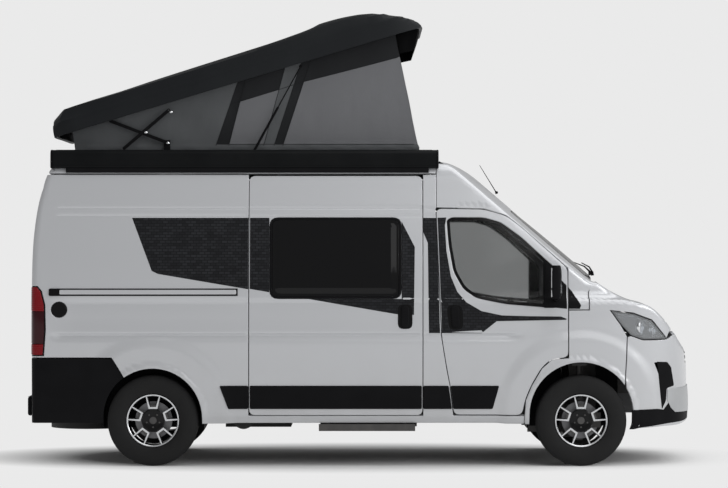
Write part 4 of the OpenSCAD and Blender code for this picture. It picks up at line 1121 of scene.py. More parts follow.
# lamps
panel("tailLampHousing", wrapRays, lampLoop, depth=0.050, lift=-0.003, hem=0.003, spacing=0.03,
      coats="black", sides="both", slotName="red_lens")
lampLow, lampHigh = 0.985, 1.245


def lampZone(loop, low, high):
    # the part of an outline between two heights
    out = []
    for p, q in zip(loop, loop[1:] + loop[:1]):
        rise = q[1] - p[1] + 1e-12
        cuts = sorted(t for t in ((low - p[1]) / rise, (high - p[1]) / rise) if 0 < t < 1)
        if low <= p[1] <= high:
            out.append(p)
        out += [(p[0] + (q[0] - p[0]) * t, p[1] + (q[1] - p[1]) * t) for t in cuts]
    return out


innerLamp = grow(lampLoop, -0.007)
panel("tailLensUpper", wrapRays, lampZone(innerLamp, lampHigh + 0.003, 2.0), depth=0.012, lift=0.003,
      hem=0.004, spacing=0.025, coats="red", sides="both", stands="tail_lights", slotName="red_lens")
panel("tailLensLower", wrapRays, lampZone(innerLamp, 0.0, lampLow - 0.003), depth=0.012, lift=0.003,
      hem=0.004, spacing=0.025, coats="red", sides="both", slotName="red_lens")
panel("tailLensClear", wrapRays, lampZone(innerLamp, lampLow, lampHigh), depth=0.012, lift=0.002, hem=0.004,
      spacing=0.025, coats="redDark", sides="both", slotName="clear_lens")

lampWrap = redraw(lampFace, sideRays, toWrap, closed=True)
panel("headlampBowl", wrapRays, grow(lampWrap, -0.004), depth=0.004, lift=-0.055, hem=0.001, spacing=0.03,
      coats="black", sides="both", slotName="black_trim")
panel("headlampRim", wrapRays, grow(lampWrap, -0.001), [grow(lampWrap, -0.014)], 0.058, lift=-0.002,
      hem=0.001, spacing=0.03, coats="black", sides="both", slotName="black_trim")
panel("headlampLens", wrapRays, grow(lampWrap, -0.002), depth=0.003, lift=0.000, hem=0.002, spacing=0.02,
      coats="clear", sides="both", stands="headlights", slotName="clear_lens")
reflector = Shape()
for a, z, r in ((0.490, 1.120, 0.062), (0.600, 1.090, 0.045)):
    spot, out, _ = surface(wrapRays, toWrap(hit(sideRays, [(frontX + a, z)])))
    spot, out = spot[0] - out[0] * 0.050, out[0]
    aim = np.array([0.80, -0.60, -0.05])
    aim /= np.linalg.norm(aim)
    bowl = [(0.0, 1.0), (0.030, 1.0), (0.034, 0.93)]
    reflector.tube([spot + aim * d for d, _ in bowl], [r * k for _, k in bowl], "chrome", 24, mirror=True)
    reflector.tube([spot + aim * 0.020, spot + aim * 0.034, spot + aim * 0.040],
                   [r * 0.72, r * 0.62, r * 0.30], "lamp", 24, mirror=True)
reflector.finish("headlampReflectors", slotName="clear_lens")
strip = redraw(fromFront((300, 1225), (421, 1208), (560, 1156), (650, 1070)), sideRays, toWrap, 0.02)
spots, outs, _ = surface(wrapRays, strip)
dayLamp = Shape().tube(list(spots - outs * 0.020), 0.007, "clear", 8, mirror=True)
dayLamp.finish("dayLamp", slotName="clear_lens")
print("lamps and trim ready")


# wheels and brakes
tyre = {"tread": 0.366, "bulge": 0.1125, "groove": 0.008, "lugs": 60}
pockets = 5


def tyreProfile():
    half = [(0.2152, 0.0885), (0.220, 0.0965), (0.228, 0.1010), (0.240, 0.1055), (0.262, 0.1110),
            (0.291, tyre["bulge"]), (0.318, 0.1100), (0.338, 0.1040), (0.349, 0.0985), (0.358, 0.0930),
            (0.3635, 0.0850)]
    tread = []
    for t in (0.052, 0.017):
        tread += [(tyre["tread"] - 0.0006, t + 0.0045), (tyre["tread"] - tyre["groove"], t + 0.0030),
                  (tyre["tread"] - tyre["groove"], t - 0.0030), (tyre["tread"] - 0.0006, t - 0.0045)]
    outer = half + [(tyre["tread"] - 0.001, 0.0720)] + tread
    inner = [(0.232, 0.0), (0.2195, 0.070), (0.2152, 0.0780)]
    return outer + [(r, -t) for r, t in outer[::-1]] + [(r, -t) for r, t in inner[::-1]] + inner[1:]


def treadLugs(shape, centre):
    # shoulder blocks that wrap from the tread onto the sidewall
    for k in range(tyre["lugs"]):
        turn = 2 * math.pi * k / tyre["lugs"]
        spin = np.array([math.cos(turn), 0, math.sin(turn)])
        run = np.array([-math.sin(turn), 0, math.cos(turn)])
        for sign in (1, -1):
            loop = [(0.3655, 0.062), (0.3640, 0.084), (0.3550, 0.096), (0.3470, 0.1005), (0.3440, 0.094),
                    (0.358, 0.062)]
            half = 0.0125
            verts = [np.array(centre) + spin * r + np.array([0, sign * t, 0]) + run * half * e
                     for e in (-1, 1) for r, t in loop]
            shape.bevelled(verts, sweptFaces(len(loop)), "rubber", 0.0015)


def turned(loop, angle):
    c, s = math.cos(angle), math.sin(angle)
    return [(u * c - w * s, u * s + w * c) for u, w in loop]


def rimPlate(shape, centre, side, loop, near, far, coat, bevel):
    # a flat figure in the wheel's face pushed inward from near to far
    verts = [(centre[0] + u, centre[1] + side * t, centre[2] + w) for t in (near, far) for u, w in loop]
    shape.bevelled(verts, sweptFaces(len(loop)), coat, bevel)


def stroke(points, widths):
    # a band of given widths along a line, as a closed figure
    pts = np.array(points, float)
    left, right = [], []
    for i, p in enumerate(pts):
        before = pts[i] - pts[i - 1] if i else pts[1] - pts[0]
        after = pts[i + 1] - pts[i] if i < len(pts) - 1 else before
        a, b = before / np.linalg.norm(before), after / np.linalg.norm(after)
        across = np.array([-(a + b)[1], (a + b)[0]])
        across /= np.linalg.norm(across)
        reach = widths[i] / 2 / max(0.4, across @ np.array([-a[1], a[0]]))
        left.append(tuple(p + across * reach))
        right.append(tuple(p - across * reach))
    return left + right[::-1]


def wheelAt(label, axleX, axleY):
    side = 1 if axleY > 0 else -1
    centre = (axleX, axleY, axleZ)
    body = ("front_wheel_" if axleX > 0 else "rear_wheel_") + ("left" if side > 0 else "right")
    rubber = Shape()
    rubber.lathe(tyreProfile(), centre, "rubber", outward=side, steps=120)
    treadLugs(rubber, centre)
    rubber.finish("tyre" + label, 32, rideOn=body, stands=tyreNodes[label])
    made = Shape()
    # barrel, flanges and inner bead
    barrel = [(0.2145, 0.0840), (0.2145, 0.0905), (0.2105, 0.0925), (0.2065, 0.0885), (0.2010, 0.0700),
              (0.1960, 0.0200), (0.1930, -0.0600), (0.2040, -0.0900), (0.2140, -0.0920), (0.2145, -0.0860),
              (0.2070, -0.0800), (0.2000, -0.0560), (0.2030, 0.0240), (0.2060, 0.0640)]
    made.lathe(barrel, centre, "rimBlack", outward=side, steps=96)
    # bright ring around the face
    ring = [(0.2065, 0.0890), (0.2105, 0.0928), (0.2035, 0.0915), (0.1995, 0.0880), (0.2005, 0.0850)]
    made.lathe(ring, centre, "alloy", outward=side, steps=96)
    # hub, cap and bolts
    cap = [(0.0, 0.0660), (0.028, 0.0655), (0.030, 0.0620), (0.030, 0.0500), (0.0, 0.0500)]
    made.lathe(cap, centre, "cast", outward=side, steps=36, closed=False)
    hub = [(0.0, 0.0585), (0.052, 0.0560), (0.086, 0.0610), (0.094, 0.0570), (0.094, 0.0180), (0.080, 0.0120),
           (0.078, -0.0170), (0.060, -0.0310), (0.0228, -0.0310), (0.0228, 0.0440), (0.0, 0.0440)]
    made.lathe(hub, centre, "rimBlack", outward=side, steps=60, closed=False)
    for k in range(5):
        turn = math.radians(54 + 72 * k)
        bolt = (axleX + 0.054 * math.cos(turn), axleY, axleZ + 0.054 * math.sin(turn))
        head = [(0.0, 0.0665), (0.0065, 0.0665), (0.0075, 0.0640), (0.0085, 0.0540), (0.0, 0.0540)]
        made.lathe(head, bolt, "cast", outward=side, steps=6, closed=False)
    for k in range(pockets):
        turn = math.radians(90 + 72 * k)
        # five cups, each a dark pair of spokes with a bright machined edge
        for hand in (1, -1):
            spoke = [(0.086, hand * 0.012), (0.094, hand * 0.030), (0.198, hand * 0.062),
                     (0.204, hand * 0.045), (0.120, hand * 0.020), (0.100, hand * 0.006)]
            spoke = spoke if hand > 0 else spoke[::-1]
            rimPlate(made, centre, side, turned(spoke, turn), 0.0770, 0.0430, "rimBlack", 0.003)
        web = [(0.080, -0.030), (0.106, -0.030), (0.116, -0.018), (0.116, 0.018), (0.106, 0.030),
               (0.080, 0.030)]
        rimPlate(made, centre, side, turned(web, turn), 0.0740, 0.0300, "rimBlack", 0.004)
        line = [(0.2030, -0.0560), (0.1020, -0.0300), (0.1020, 0.0300), (0.2030, 0.0560)]
        bright = stroke(line, [0.0085, 0.0150, 0.0150, 0.0085])
        rimPlate(made, centre, side, turned(bright, turn), 0.0825, 0.0700, "alloy", 0.0015)
        cup = stroke([(0.1170, -0.0230), (0.1170, 0.0230)], [0.0160, 0.0160])
        rimPlate(made, centre, side, turned(cup, turn), 0.0765, 0.0640, "cast", 0.002)
    # ventilated brake disc behind the spokes
    disc = [(0.150, -0.0180), (0.150, -0.0225), (0.145, -0.0228), (0.145, -0.0252), (0.150, -0.0255),
            (0.150, -0.0300), (0.062, -0.0300), (0.062, -0.0180)]
    made.lathe(disc, centre, "brake", outward=side, steps=72)
    # valve
    stem = [(axleX + 0.188, axleY + side * 0.070, axleZ - 0.030),
            (axleX + 0.172, axleY + side * 0.092, axleZ - 0.028)]
    made.tube(stem, [0.0045, 0.0035], "black", 8)
    made.finish("rim" + label, 30, rideOn=body, stands=rimNodes[label])


tyreNodes = {"FrontRight": "front_tyre_right", "FrontLeft": "front_tyre_left",
             "RearRight": "rear_tyre_right", "RearLeft": "rear_tyre_left"}
rimNodes = {"FrontRight": "front_rim_right", "FrontLeft": "front_rim_left",
            "RearRight": "rear_rim_right", "RearLeft": "rear_rim_left"}
for label, node in tyreNodes.items():
    low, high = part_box(node)
    wheelAt(label, (low[0] + high[0]) / 2, (low[1] + high[1]) / 2)
print("wheels ready")


# rising roof
raised = {"turn": math.radians(16.8), "centre": (rearX - 1.133, 2.560), "rim": 2.562, "half": 0.760,
          "wall": 0.028}


def up(x, z):
    c, s = math.cos(raised["turn"]), math.sin(raised["turn"])
    dx, dz = x - raised["centre"][0], z - raised["centre"][1]
    return raised["centre"][0] + dx * c - dz * s, raised["centre"][1] + dx * s + dz * c


def lift(v):
    x, z = up(v[0], v[2])
    return (x, v[1], z)


shellBack = rearX - 0.818
shellNose = frontX - 1.111
shellLine = [(shellBack, 2.520), (shellBack, 2.590), (rearX - 0.775, 2.700), (rearX - 0.708, 2.754),
             (rearX - 0.10, 2.776), (frontX - 1.990, 2.826), (frontX - 1.945, 2.848), (frontX - 1.750, 2.846),
             (frontX - 1.478, 2.787), (frontX - 1.216, 2.666), (frontX - 1.128, 2.594), (shellNose, 2.540),
             (shellNose, 2.400)]
shellSide = Profile(smoothLine(shellLine, 8) + [(shellBack, 2.400)], (shellBack - 0.2, 2.3),
                    (shellNose + 0.2, 3.0))
shellCut = [(raised["half"], 2.300), (raised["half"], 2.650), (0.745, 2.720), (0.710, 2.790),
            (0.630, 2.835), (0.430, 2.858), (0.0, 2.864)]
shellSection = Profile(smoothLine(shellCut) + [(-0.2, 2.864), (-0.2, 2.300)], (-0.1, 2.3), (0.95, 3.0))
shellEdge = [(shellBack, 0.0), (shellBack, 0.670), (rearX - 0.800, 0.735), (rearX - 0.760, raised["half"]),
             (frontX - 1.480, raised["half"]), (frontX - 1.300, 0.738), (frontX - 1.180, 0.690),
             (frontX - 1.125, 0.620), (shellNose, 0.500), (shellNose, 0.0)]
shellPlan = Profile(smoothLine(shellEdge) + [(shellNose, -0.2), (shellBack, -0.2)], (shellBack - 0.2, -0.1),
                    (shellNose + 0.2, 0.95))


def shellField(p):
    x, z = p[:, 0], p[:, 2]
    y = np.abs(p[:, 1])
    out = smoothMax(shellSide(x, z), shellSection(y, z), 0.05)
    out = smoothMax(out, shellPlan(x, y), 0.03)
    # a pressed line along the flank and two shallow ribs on the top
    out = out + 0.005 * ridge(z, 2.668, 0.010) * (y > 0.55)
    top = (z > 2.74) & (x < frontX - 2.05)
    return out + 0.006 * ridge(y, 0.36, 0.022) * top


def shellLoops(inward):
    # rings climb from the rim to the spine; each column looks outward from its own point of the spine
    low, high = shellBack + 0.62, shellNose - 0.55
    stations = list(np.linspace(low, high, 46))
    columns = [(x, -90.0) for x in stations]
    columns += [(high, a) for a in np.linspace(-90, 90, 61)[1:-1]]
    columns += [(x, 90.0) for x in stations[::-1]]
    columns += [(low, a) for a in np.linspace(90, 270, 27)[1:-1]]
    base = np.array([(x, 0.0, 2.60) for x, _ in columns])
    turn = np.radians([a for _, a in columns])
    flat = np.stack([np.cos(turn), np.sin(turn), np.zeros(len(turn))], 1)
    rings = []
    heights = [raised["rim"], 2.585, 2.61, 2.635, 2.655, 2.664, 2.672, 2.685, 2.70]
    for z in heights:
        start = base + flat * 1.6
        start[:, 2] = z
        rings.append(cast(start, -flat, shellField))
    core = base.copy()
    core[:, 2] = raised["centre"][1]
    last = rings[-1] - core
    lowest = np.arctan2(last[:, 2], np.linalg.norm(last[:, :2], axis=1))
    for t in np.linspace(0, 1, 34)[1:]:
        tilt = lowest + (math.pi / 2 - lowest) * t ** 0.8
        along = flat * np.cos(tilt)[:, None] + np.array([0, 0, 1.0]) * np.sin(tilt)[:, None]
        rings.append(cast(core + along * 1.6, -along, shellField))
    return [ring - slope(shellField, ring, 0.003) * inward for ring in rings]


def makeShell():
    outer, inner = shellLoops(0.0), shellLoops(raised["wall"])
    count = len(outer[0])
    for ring in (inner[0], outer[0]):
        ring[:, 2] = raised["rim"]
    verts = np.concatenate(outer + inner)
    faces, kinds = [], []
    layers = len(outer)
    for k in range(layers - 1):
        for i in range(count):
            j = (i + 1) % count
            a, b, c, d = k * count + i, k * count + j, (k + 1) * count + j, (k + 1) * count + i
            faces.append([a, b, c, d])
            shift = layers * count
            faces.append([d + shift, c + shift, b + shift, a + shift])
            kinds += [0, 1]
    for i in range(count):
        j = (i + 1) % count
        faces.append([j, i, i + layers * count, j + layers * count])
        kinds.append(0)
    shape = Shape()
    shape.coats = ["shell", "liner"]
    shape.verts = [lift(v) for v in verts]
    shape.faces = faces
    shape.kinds = kinds
    shape.finish("roofShell", 40, rideOn="roof", stands="roof_shell")


makeShell()
print("roof shell ready")


# tent
tent = {"half": 0.640, "window": 0.42, "foot": 2.5565, "slack": 0.049, "band": 0.213, "cloth": 0.0015,
        "rear": (rearX - 0.662, rearX - 0.687), "front": (frontX - 1.296, frontX - 1.497)}
# foot and head of the lines that part the side into windows and plain cloth
tentLines = [(tent["rear"][0], tent["rear"][1], "tent"), (frontX - 2.973, frontX - 2.770, "tentDark"),
             (frontX - 2.864, frontX - 2.708, "tentWindow"), (frontX - 2.580, frontX - 2.386, "tent"),
             (frontX - 2.497, frontX - 2.252, "tentDark"), (frontX - 2.425, frontX - 2.172, "tentWindow"),
             (tent["front"][0], tent["front"][1], None)]


def tentHead(x):
    # height of the shell's lining above a place along the van
    c, s = math.cos(raised["turn"]), math.sin(raised["turn"])
    return raised["centre"][1] + ((x - raised["centre"][0]) * s + 0.040) / c


def tentColumns():
    side = []
    for (foot, head, kind), (nextFoot, nextHead, _) in zip(tentLines, tentLines[1:]):
        count = max(2, round((nextFoot - foot) / 0.035))
        side += [(foot + (nextFoot - foot) * k / count, head + (nextHead - head) * k / count, kind)
                 for k in range(count)]
    columns = [(foot, head, -tent["half"], (0, -1), kind) for foot, head, kind in side]
    across = np.linspace(-tent["half"], tent["half"], 33)
    for y in across[:-1]:
        columns.append((*tent["front"], y, (1, 0), "tentWindow" if abs(y) < tent["window"] else "tentDark"))
    columns.append((*tent["front"], tent["half"], (0, 1), side[-1][2]))
    # a column's kind is that of the cloth after it, so on the way back it is the next column's
    kinds = [kind for _, _, kind in side[1:-1][::-1]] + ["tent"]
    for (foot, head, _), kind in zip(side[1:][::-1], kinds):
        columns.append((foot, head, tent["half"], (0, 1), kind))
    columns += [(*tent["rear"], y, (-1, 0), "tent") for y in across[::-1][:-1]]
    return columns


def tentGrid():
    # rows run from the frame to the shell, with one row each on the borders of the windows
    shares = [0, 0.25, 0.5, 0.75, 1]
    shares += [1 + k / 16 for k in range(1, 17)] + [2 + k / 5 for k in range(1, 6)]
    rng = np.random.default_rng(7)
    phases = rng.uniform(0, 2 * math.pi, 4)
    spots = []
    columns = tentColumns()
    for foot, head, y, out, kind in columns:
        top = tentHead(head)
        tall = top - tent["foot"]
        low = tent["foot"] + min(tent["slack"], tall * 0.3)
        high = max(top - tent["band"], low + tall * 0.25)
        for share in shares:
            if share <= 1:
                z = tent["foot"] + (low - tent["foot"]) * share
            elif share <= 2:
                z = low + (high - low) * (share - 1)
            else:
                z = high + (top - high) * (share - 2)
            v = (z - tent["foot"]) / tall
            x = foot + (head - foot) * v
            run = x if abs(out[1]) else y
            # taut windows, soft folds in the plain cloth and a slack roll at the foot
            loose = 0.35 if kind == "tentWindow" else 1.0
            fold = math.sin(run * 19 + v * 6 + phases[0]) * 0.5 + math.sin(run * 43 - v * 9 + phases[1]) * 0.3
            fold += math.sin((run + v * 0.6) * 11 + phases[2]) * 0.6
            hold = math.sin(math.pi * min(max(v, 0.0), 1.0)) ** 0.6
            push = 0.0042 * loose * fold * hold - 0.006 * hold * loose
            roll = math.exp(-((z - tent["foot"] - 0.026) / 0.016) ** 2)
            push += roll * (0.005 + 0.004 * math.sin(run * 31 + phases[3]))
            spots.append((x + out[0] * push, y + out[1] * push, z, out))
    return columns, shares, spots


def makeTent():
    columns, shares, spots = tentGrid()
    n, m = len(columns), len(shares)
    outer = [(x, y, z) for x, y, z, _ in spots]
    inner = [(x - out[0] * tent["cloth"], y - out[1] * tent["cloth"], z) for x, y, z, out in spots]
    shape = Shape()
    shape.coats = ["tent", "tentDark", "tentWindow"]
    shape.verts = outer + inner
    for i in range(n):
        j = (i + 1) % n
        for k in range(m - 1):
            a, b, c, d = i * m + k, j * m + k, j * m + k + 1, i * m + k + 1
            kind = columns[i][4]
            if shares[k] < 1:
                kind = "tent"
            elif shares[k] >= 2:
                kind = "tent" if kind == "tent" else "tentDark"
            slot = shape.coats.index(kind)
            shape.faces += [[a, b, c, d], [d + n * m, c + n * m, b + n * m, a + n * m]]
            shape.kinds += [slot, slot]
        for k in (0, m - 1):
            a, b = i * m + k, j * m + k
            edge = [b, a, a + n * m, b + n * m]
            shape.faces.append(edge if k == 0 else edge[::-1])
            shape.kinds.append(0)
    cloth = shape.finish("tentCloth", 60, rideOn="van", stands="roof_tent")
    # welted seams on the borders of the windows
    seams = Shape()
    for line in range(1, len(tentLines) - 1):
        index = next(i for i, c in enumerate(columns) if c[0] == tentLines[line][0])
        path = [np.array(spots[index * m + k][:3]) + [0, -0.001, 0] for k in range(3, m - 1)]
        seams.tube(path, 0.0022, "tentDark", 6, mirror=True)
    for row in (4, 20):
        first = next(i for i, c in enumerate(columns) if c[0] == tentLines[1][0])
        last = next(i for i, c in enumerate(columns) if c[0] == tent["front"][0])
        path = [np.array(spots[i * m + row][:3]) + [0, -0.001, 0] for i in range(first, last)]
        seams.tube(path, 0.0022, "tentDark", 6, mirror=True)
    welts = seams.finish("tentSeams", 60, rideOn="van")
    length = 2 * (tent["front"][0] - tent["rear"][0]) + 4 * tent["half"]
    height = tentHead(tent["front"][1]) - tent["foot"]
    for piece in (cloth, welts):
        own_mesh(piece)


makeTent()

# near-black flap under the nose of the shell: a dark sheet of painted shade under the overhang
flap = {"head": [(frontX - 1.345, 2.572), (frontX - 1.150, 2.572)],
        "foot": [(frontX - 1.366, 2.412), (frontX - 1.245, 2.402)],
        "half": 0.610, "thick": 0.0016, "flat": (0.20, 1.60)}


def makeShadeFlap():
    (headBack, headZ), (headFront, _) = flap["head"]
    (footBack, footZ), (footFront, footFrontZ) = flap["foot"]
    columns = []
    for k in range(9):
        t = k / 8
        columns.append((headBack + (headFront - headBack) * t, footBack + (footFront - footBack) * t,
                        footZ + (footFrontZ - footZ) * t, -flap["half"], (0.15, -1)))
    for y in np.linspace(-flap["half"], flap["half"], 31)[1:-1]:
        columns.append((headFront + 0.018 * (1 - (y / flap["half"]) ** 2), footFront, footFrontZ, y, (1, 0)))
    columns += [(a, b, z, flap["half"], (0.15, 1)) for a, b, z, _, _ in columns[:9][::-1]]
    rows = 9
    outer, inner = [], []
    for i, (head, foot, z, y, out) in enumerate(columns):
        size = math.hypot(*out)
        for k in range(rows):
            v = k / (rows - 1)
            push = 0.004 * math.sin(v * math.pi) * (1 + math.sin(i * 0.9))
            spot = np.array([foot + (head - foot) * v, y, z + (headZ - z) * v])
            way = np.array([out[0], out[1], 0]) / size
            outer.append(spot + way * push)
            inner.append(spot + way * (push - flap["thick"]))
    n, m = len(columns), rows
    shape = Shape()
    shape.coats = ["flap"]
    shape.verts = [lift(v) for v in outer + inner]
    total = n * m
    for i in range(n - 1):
        for k in range(m - 1):
            a, b, c, d = i * m + k, (i + 1) * m + k, (i + 1) * m + k + 1, i * m + k + 1
            shape.faces += [[a, b, c, d], [d + total, c + total, b + total, a + total]]
        for k in (0, m - 1):
            a, b = i * m + k, (i + 1) * m + k
            shape.faces.append([b, a, a + total, b + total])
    for i in (0, n - 1):
        for k in range(m - 1):
            a, b = i * m + k, i * m + k + 1
            shape.faces.append([a, b, b + total, a + total])
    shape.kinds = [0] * len(shape.faces)
    # the flap's near-black finish is painted shade under the shell's nose
    cloth = shape.finish("noseFlap", 60, rideOn="roof")
    total = sum(f.area for f in cloth.data.polygons) / 2
    x, z = up(headBack, headZ)
    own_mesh(cloth)


makeShadeFlap()
print("tent ready")


# lower trim of the nose
def noseLoop(points):
    return redraw(mm(points), sideRays, toWrap, closed=True)


noseMid = fanFront + math.pi / 2
bumperVent = rounded(noseLoop([(2340, 838), (2432, 834), (2466, 790), (2492, 640), (2428, 622), (2420, 520),
                               (2384, 452), (2372, 560), (2350, 800)]), 0.03)
panel("bumperVent", wrapRays, bumperVent, depth=0.006, spacing=0.025, lift=0.003, hem=0.002, dent=noseDent,
      coats="black", sides="both")
lipTop = redraw(mm([(2126, 452), (2340, 458), (2400, 450), (2440, 500)]), sideRays, toWrap)
lipLow = redraw(mm([(2460, 340), (2300, 322), (2126, 312)]), sideRays, toWrap)
bumperLip = lipTop + [(noseMid, 0.500), (noseMid, 0.375)] + lipLow
panel("bumperLip", wrapRays, bumperLip, depth=0.006, spacing=0.03, lift=0.0035, hem=0.002, dent=noseDent,
      coats="black", sides="both")
skidSide = redraw(mm([(2434, 618), (2428, 530), (2462, 462), (2500, 425)]), sideRays, toWrap)
panel("bumperSkid", wrapRays, [(noseMid, 0.640)] + skidSide + [(noseMid, 0.400)], depth=0.010, spacing=0.03,
      lift=0.0075, hem=0.004, dent=noseDent, coats=("skid", "black"), sides="both")


# rear bumper and its step
rearMid = fanRear - math.pi / 2
bumper = {"top": 0.869, "bottom": 0.346, "step": 0.553}
sideTop = [(rearX - 0.327, bumper["top"]), (rearX - 0.224, 0.756)]
archEdge = arc(rearX, axleZ + 0.024, 0.398, 124.3, 180)
sideLow = [(rearX - 0.398, bumper["bottom"])]
around = redraw(sideTop + archEdge + sideLow, sideRays, toWrap)
corner = [(fanRear - math.atan2(fanRear - backX, 0.930), z) for z in (bumper["top"], bumper["step"])]
rearBumper = around + [(rearMid, bumper["bottom"]), (rearMid, bumper["step"]), corner[1], corner[0]]
panel("rearBumper", wrapRays, rearBumper, depth=0.024, spacing=0.035, coats="black", sides="both",
      stands="rear_bumper")
rearStep = Shape()
stepLoop = [(backX - 0.034, 0.412), (backX - 0.034, 0.541), (backX - 0.026, 0.553), (backX - 0.003, 0.553),
            (backX - 0.003, 0.400), (backX - 0.024, 0.400)]
rearStep.prism(stepLoop, -0.875, 0.875, "black", 0.004)
for k in range(9):
    y = -0.80 + 0.2 * k
    rearStep.box((backX - 0.030, y - 0.085, 0.553), (backX - 0.006, y + 0.085, 0.5550), "black", 0.0008)
rearStep.box((backX - 0.0345, -0.262, 0.424), (backX - 0.030, 0.262, 0.540), "plate", 0.001)
rearStep.finish("rearStep")


# roof frame, awning and side gear
def extrudeX(shape, loop, x0, x1, coat, bevel):
    # a cross section given as (y, z) pushed along the van
    loop = loop if area(loop) < 0 else loop[::-1]
    verts = [(x0, y, z) for y, z in loop] + [(x1, y, z) for y, z in loop]
    return shape.bevelled(verts, sweptFaces(len(loop)), coat, bevel)


low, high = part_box("awning")
case = {"x0": low[0], "x1": high[0], "y": low[1], "z0": 2.402, "z1": high[2]}
inner = case["y"] + 0.113
caseLoop = rounded([(case["y"], case["z0"]), (inner, case["z0"]), (inner, case["z1"] - 0.012),
                    (case["y"] + 0.030, case["z1"]), (case["y"], case["z1"] - 0.030)], 0.018, 5)
awning = Shape()
extrudeX(awning, caseLoop, case["x0"] + 0.018, case["x1"] - 0.018, "awning", 0.0015)
capLoop = grow(caseLoop, 0.0015)
for x0, x1 in ((case["x0"], case["x0"] + 0.020), (case["x1"] - 0.020, case["x1"])):
    extrudeX(awning, capLoop, x0, x1, "black", 0.004)
# lead rail lip
extrudeX(awning, [(case["y"] - 0.001, 2.424), (case["y"] + 0.004, 2.424), (case["y"] + 0.004, 2.470),
                  (case["y"] - 0.001, 2.466)], case["x0"] + 0.022, case["x1"] - 0.022, "awning", 0.001)
for x in np.linspace(case["x0"] + 0.35, case["x1"] - 0.35, 4):
    awning.box((x - 0.055, case["y"] + 0.001, 2.366), (x + 0.055, case["y"] + 0.028, 2.404), "black", 0.003)
extrudeX(awning, [(case["y"] + 0.003, 2.364), (case["y"] + 0.026, 2.364), (case["y"] + 0.026, 2.403),
                  (case["y"] + 0.003, 2.403)], case["x0"] + 0.126, case["x1"] - 0.080, "black", 0.002)
awning.finish("awningCase", stands="awning")

# bright pin heads of the roof linkage
pinHead = [(0.0, 0.0060), (0.008, 0.0050), (0.012, 0.0015), (0.012, -0.0010), (0.0, -0.0010)]
for name, rider, y, places in (("upperPins", "roof_arms_upper", -683, ((-1599, 2868), (-1805, 2699))),
                               ("lowerPins", "roof_arms_lower", -671.5, ((-1626, 2612),))):
    pins = Shape()
    for x, z in places:
        pins.lathe(pinHead, at(x, y, z), "chrome", steps=20, closed=False, mirror=True)
    pins.finish(name, rideOn=rider)

# bracket of the awning at the cab
bracket = Shape()
for k in range(5):
    x = case["x1"] + 0.012 + 0.018 * k
    y = case["y"] + 0.100
    z = 2.452 - 0.010 * k
    bracket.tube([(x - 0.009, y, z), (x + 0.009, y, z - 0.008)], [0.011, 0.008], "black", 10)
bracket.finish("awningBracket")


mirror = {"back": midX + 1.471, "front": midX + 1.551, "middle": -1.170, "foot": 1.350, "tall": 0.268}


def makeMirror(sign):
    # two arms hold a tall housing with a large and a wide-angle glass
    x0, x1 = mirror["back"], mirror["front"]
    shape = Shape()
    plan = rounded([(x0, -1.248), (x1 - 0.012, -1.252), (x1 + 0.006, -1.170), (x1 - 0.006, -1.092),
                    (x0, -1.088)], 0.022, 4)
    cx, cy = (x0 + x1) / 2, mirror["middle"]
    loops = []
    for t in np.linspace(0, 1, 11):
        z = mirror["foot"] + mirror["tall"] * t
        pinch = 1 - 0.55 * abs(2 * t - 1) ** 5
        loops.append([(cx + (x - cx) * (0.55 + 0.45 * pinch), cy + (y - cy) * (0.72 + 0.28 * pinch), z)
                      for x, y in plan])
    shape.add([p for loop in loops for p in loop], ringFaces(len(loops), len(loops[0])), "black")
    shape.box((x0 - 0.004, -1.236, 1.438), (x0 + 0.004, -1.104, 1.598), "mirror", 0.002)
    shape.box((x0 - 0.004, -1.232, 1.366), (x0 + 0.004, -1.108, 1.424), "mirror", 0.002)
    # repeater strip and the two arms to the door
    shape.box((x1 - 0.010, -1.236, 1.395), (x1 + 0.0015, -1.200, 1.470), "clear", 0.003)
    shape.tube([(x0 + 0.045, -1.10, 1.372), (x0 + 0.050, -1.04, 1.356), (x0 + 0.052, -0.985, 1.352)],
               [0.024, 0.021, 0.026], "black", 16, flat=0.8)
    shape.tube([(x0 + 0.045, -1.12, 1.352), (x0 + 0.048, -1.06, 1.340), (x0 + 0.050, -0.990, 1.336)],
               [0.013, 0.012, 0.014], "black", 12)
    if sign > 0:
        shape.verts = [(x, -y, z) for x, y, z in shape.verts]
        shape.faces = [f[::-1] for f in shape.faces]
    sideName = "left" if sign > 0 else "right"
    shape.finish("mirror" + sideName.title(), 40, rideOn="cab_door_" + sideName, stands="mirror_" + sideName)


makeMirror(-1)
makeMirror(1)

# black corner panels behind the mirrors, one half on each door and one on the body
for sideName, rider in (("right", "cab_door_right"), ("left", "cab_door_left")):
    overlay("mirrorPanel" + sideName.title(),
            [[(1437, 1640), (1545, 1520), (1608, 1456), (1608, 1268), (1437, 1283)]],
            "black", 0.003, rideOn=rider, sides=sideName)
overlay("cornerPanels", [[(1622, 1441), (1652, 1408), (1722, 1296), (1712, 1268), (1622, 1268)]],
        "black", 0.003)

# wipers on the cowl and the roof aerial
cowl = Shape()
for sign in (-1, 1):
    pivot = np.array(at(1868, sign * 120 - 240, 1548))
    tip = np.array(at(1760, sign * 120 + 330 * sign - 60, 1622))
    cowl.tube([pivot + [0, 0, -0.02], pivot + [-0.004, 0, 0.014]], [0.014, 0.011], "black", 12)
    cowl.tube([pivot + [-0.004, 0, 0.012], pivot * 0.6 + tip * 0.4 + [0.012, 0, 0.022],
               tip + [0.006, 0, 0.012]],
              [0.008, 0.006, 0.004], "black", 8)
cowl.finish("wipers", 40)
aerial = Shape()
aerial.lathe([(0.0, 0.006), (0.008, 0.006), (0.012, -0.008), (0.0, -0.010)], at(1092, 0, 2222), "black",
             steps=20, closed=False)
aerial.tube([at(1090, 0, 2212), at(1080, 0, 2236), at(948, 0, 2452)], [0.009, 0.004, 0.0022], "black", 8)
aerial.finish("roofAerial", 40)
print("gear ready")


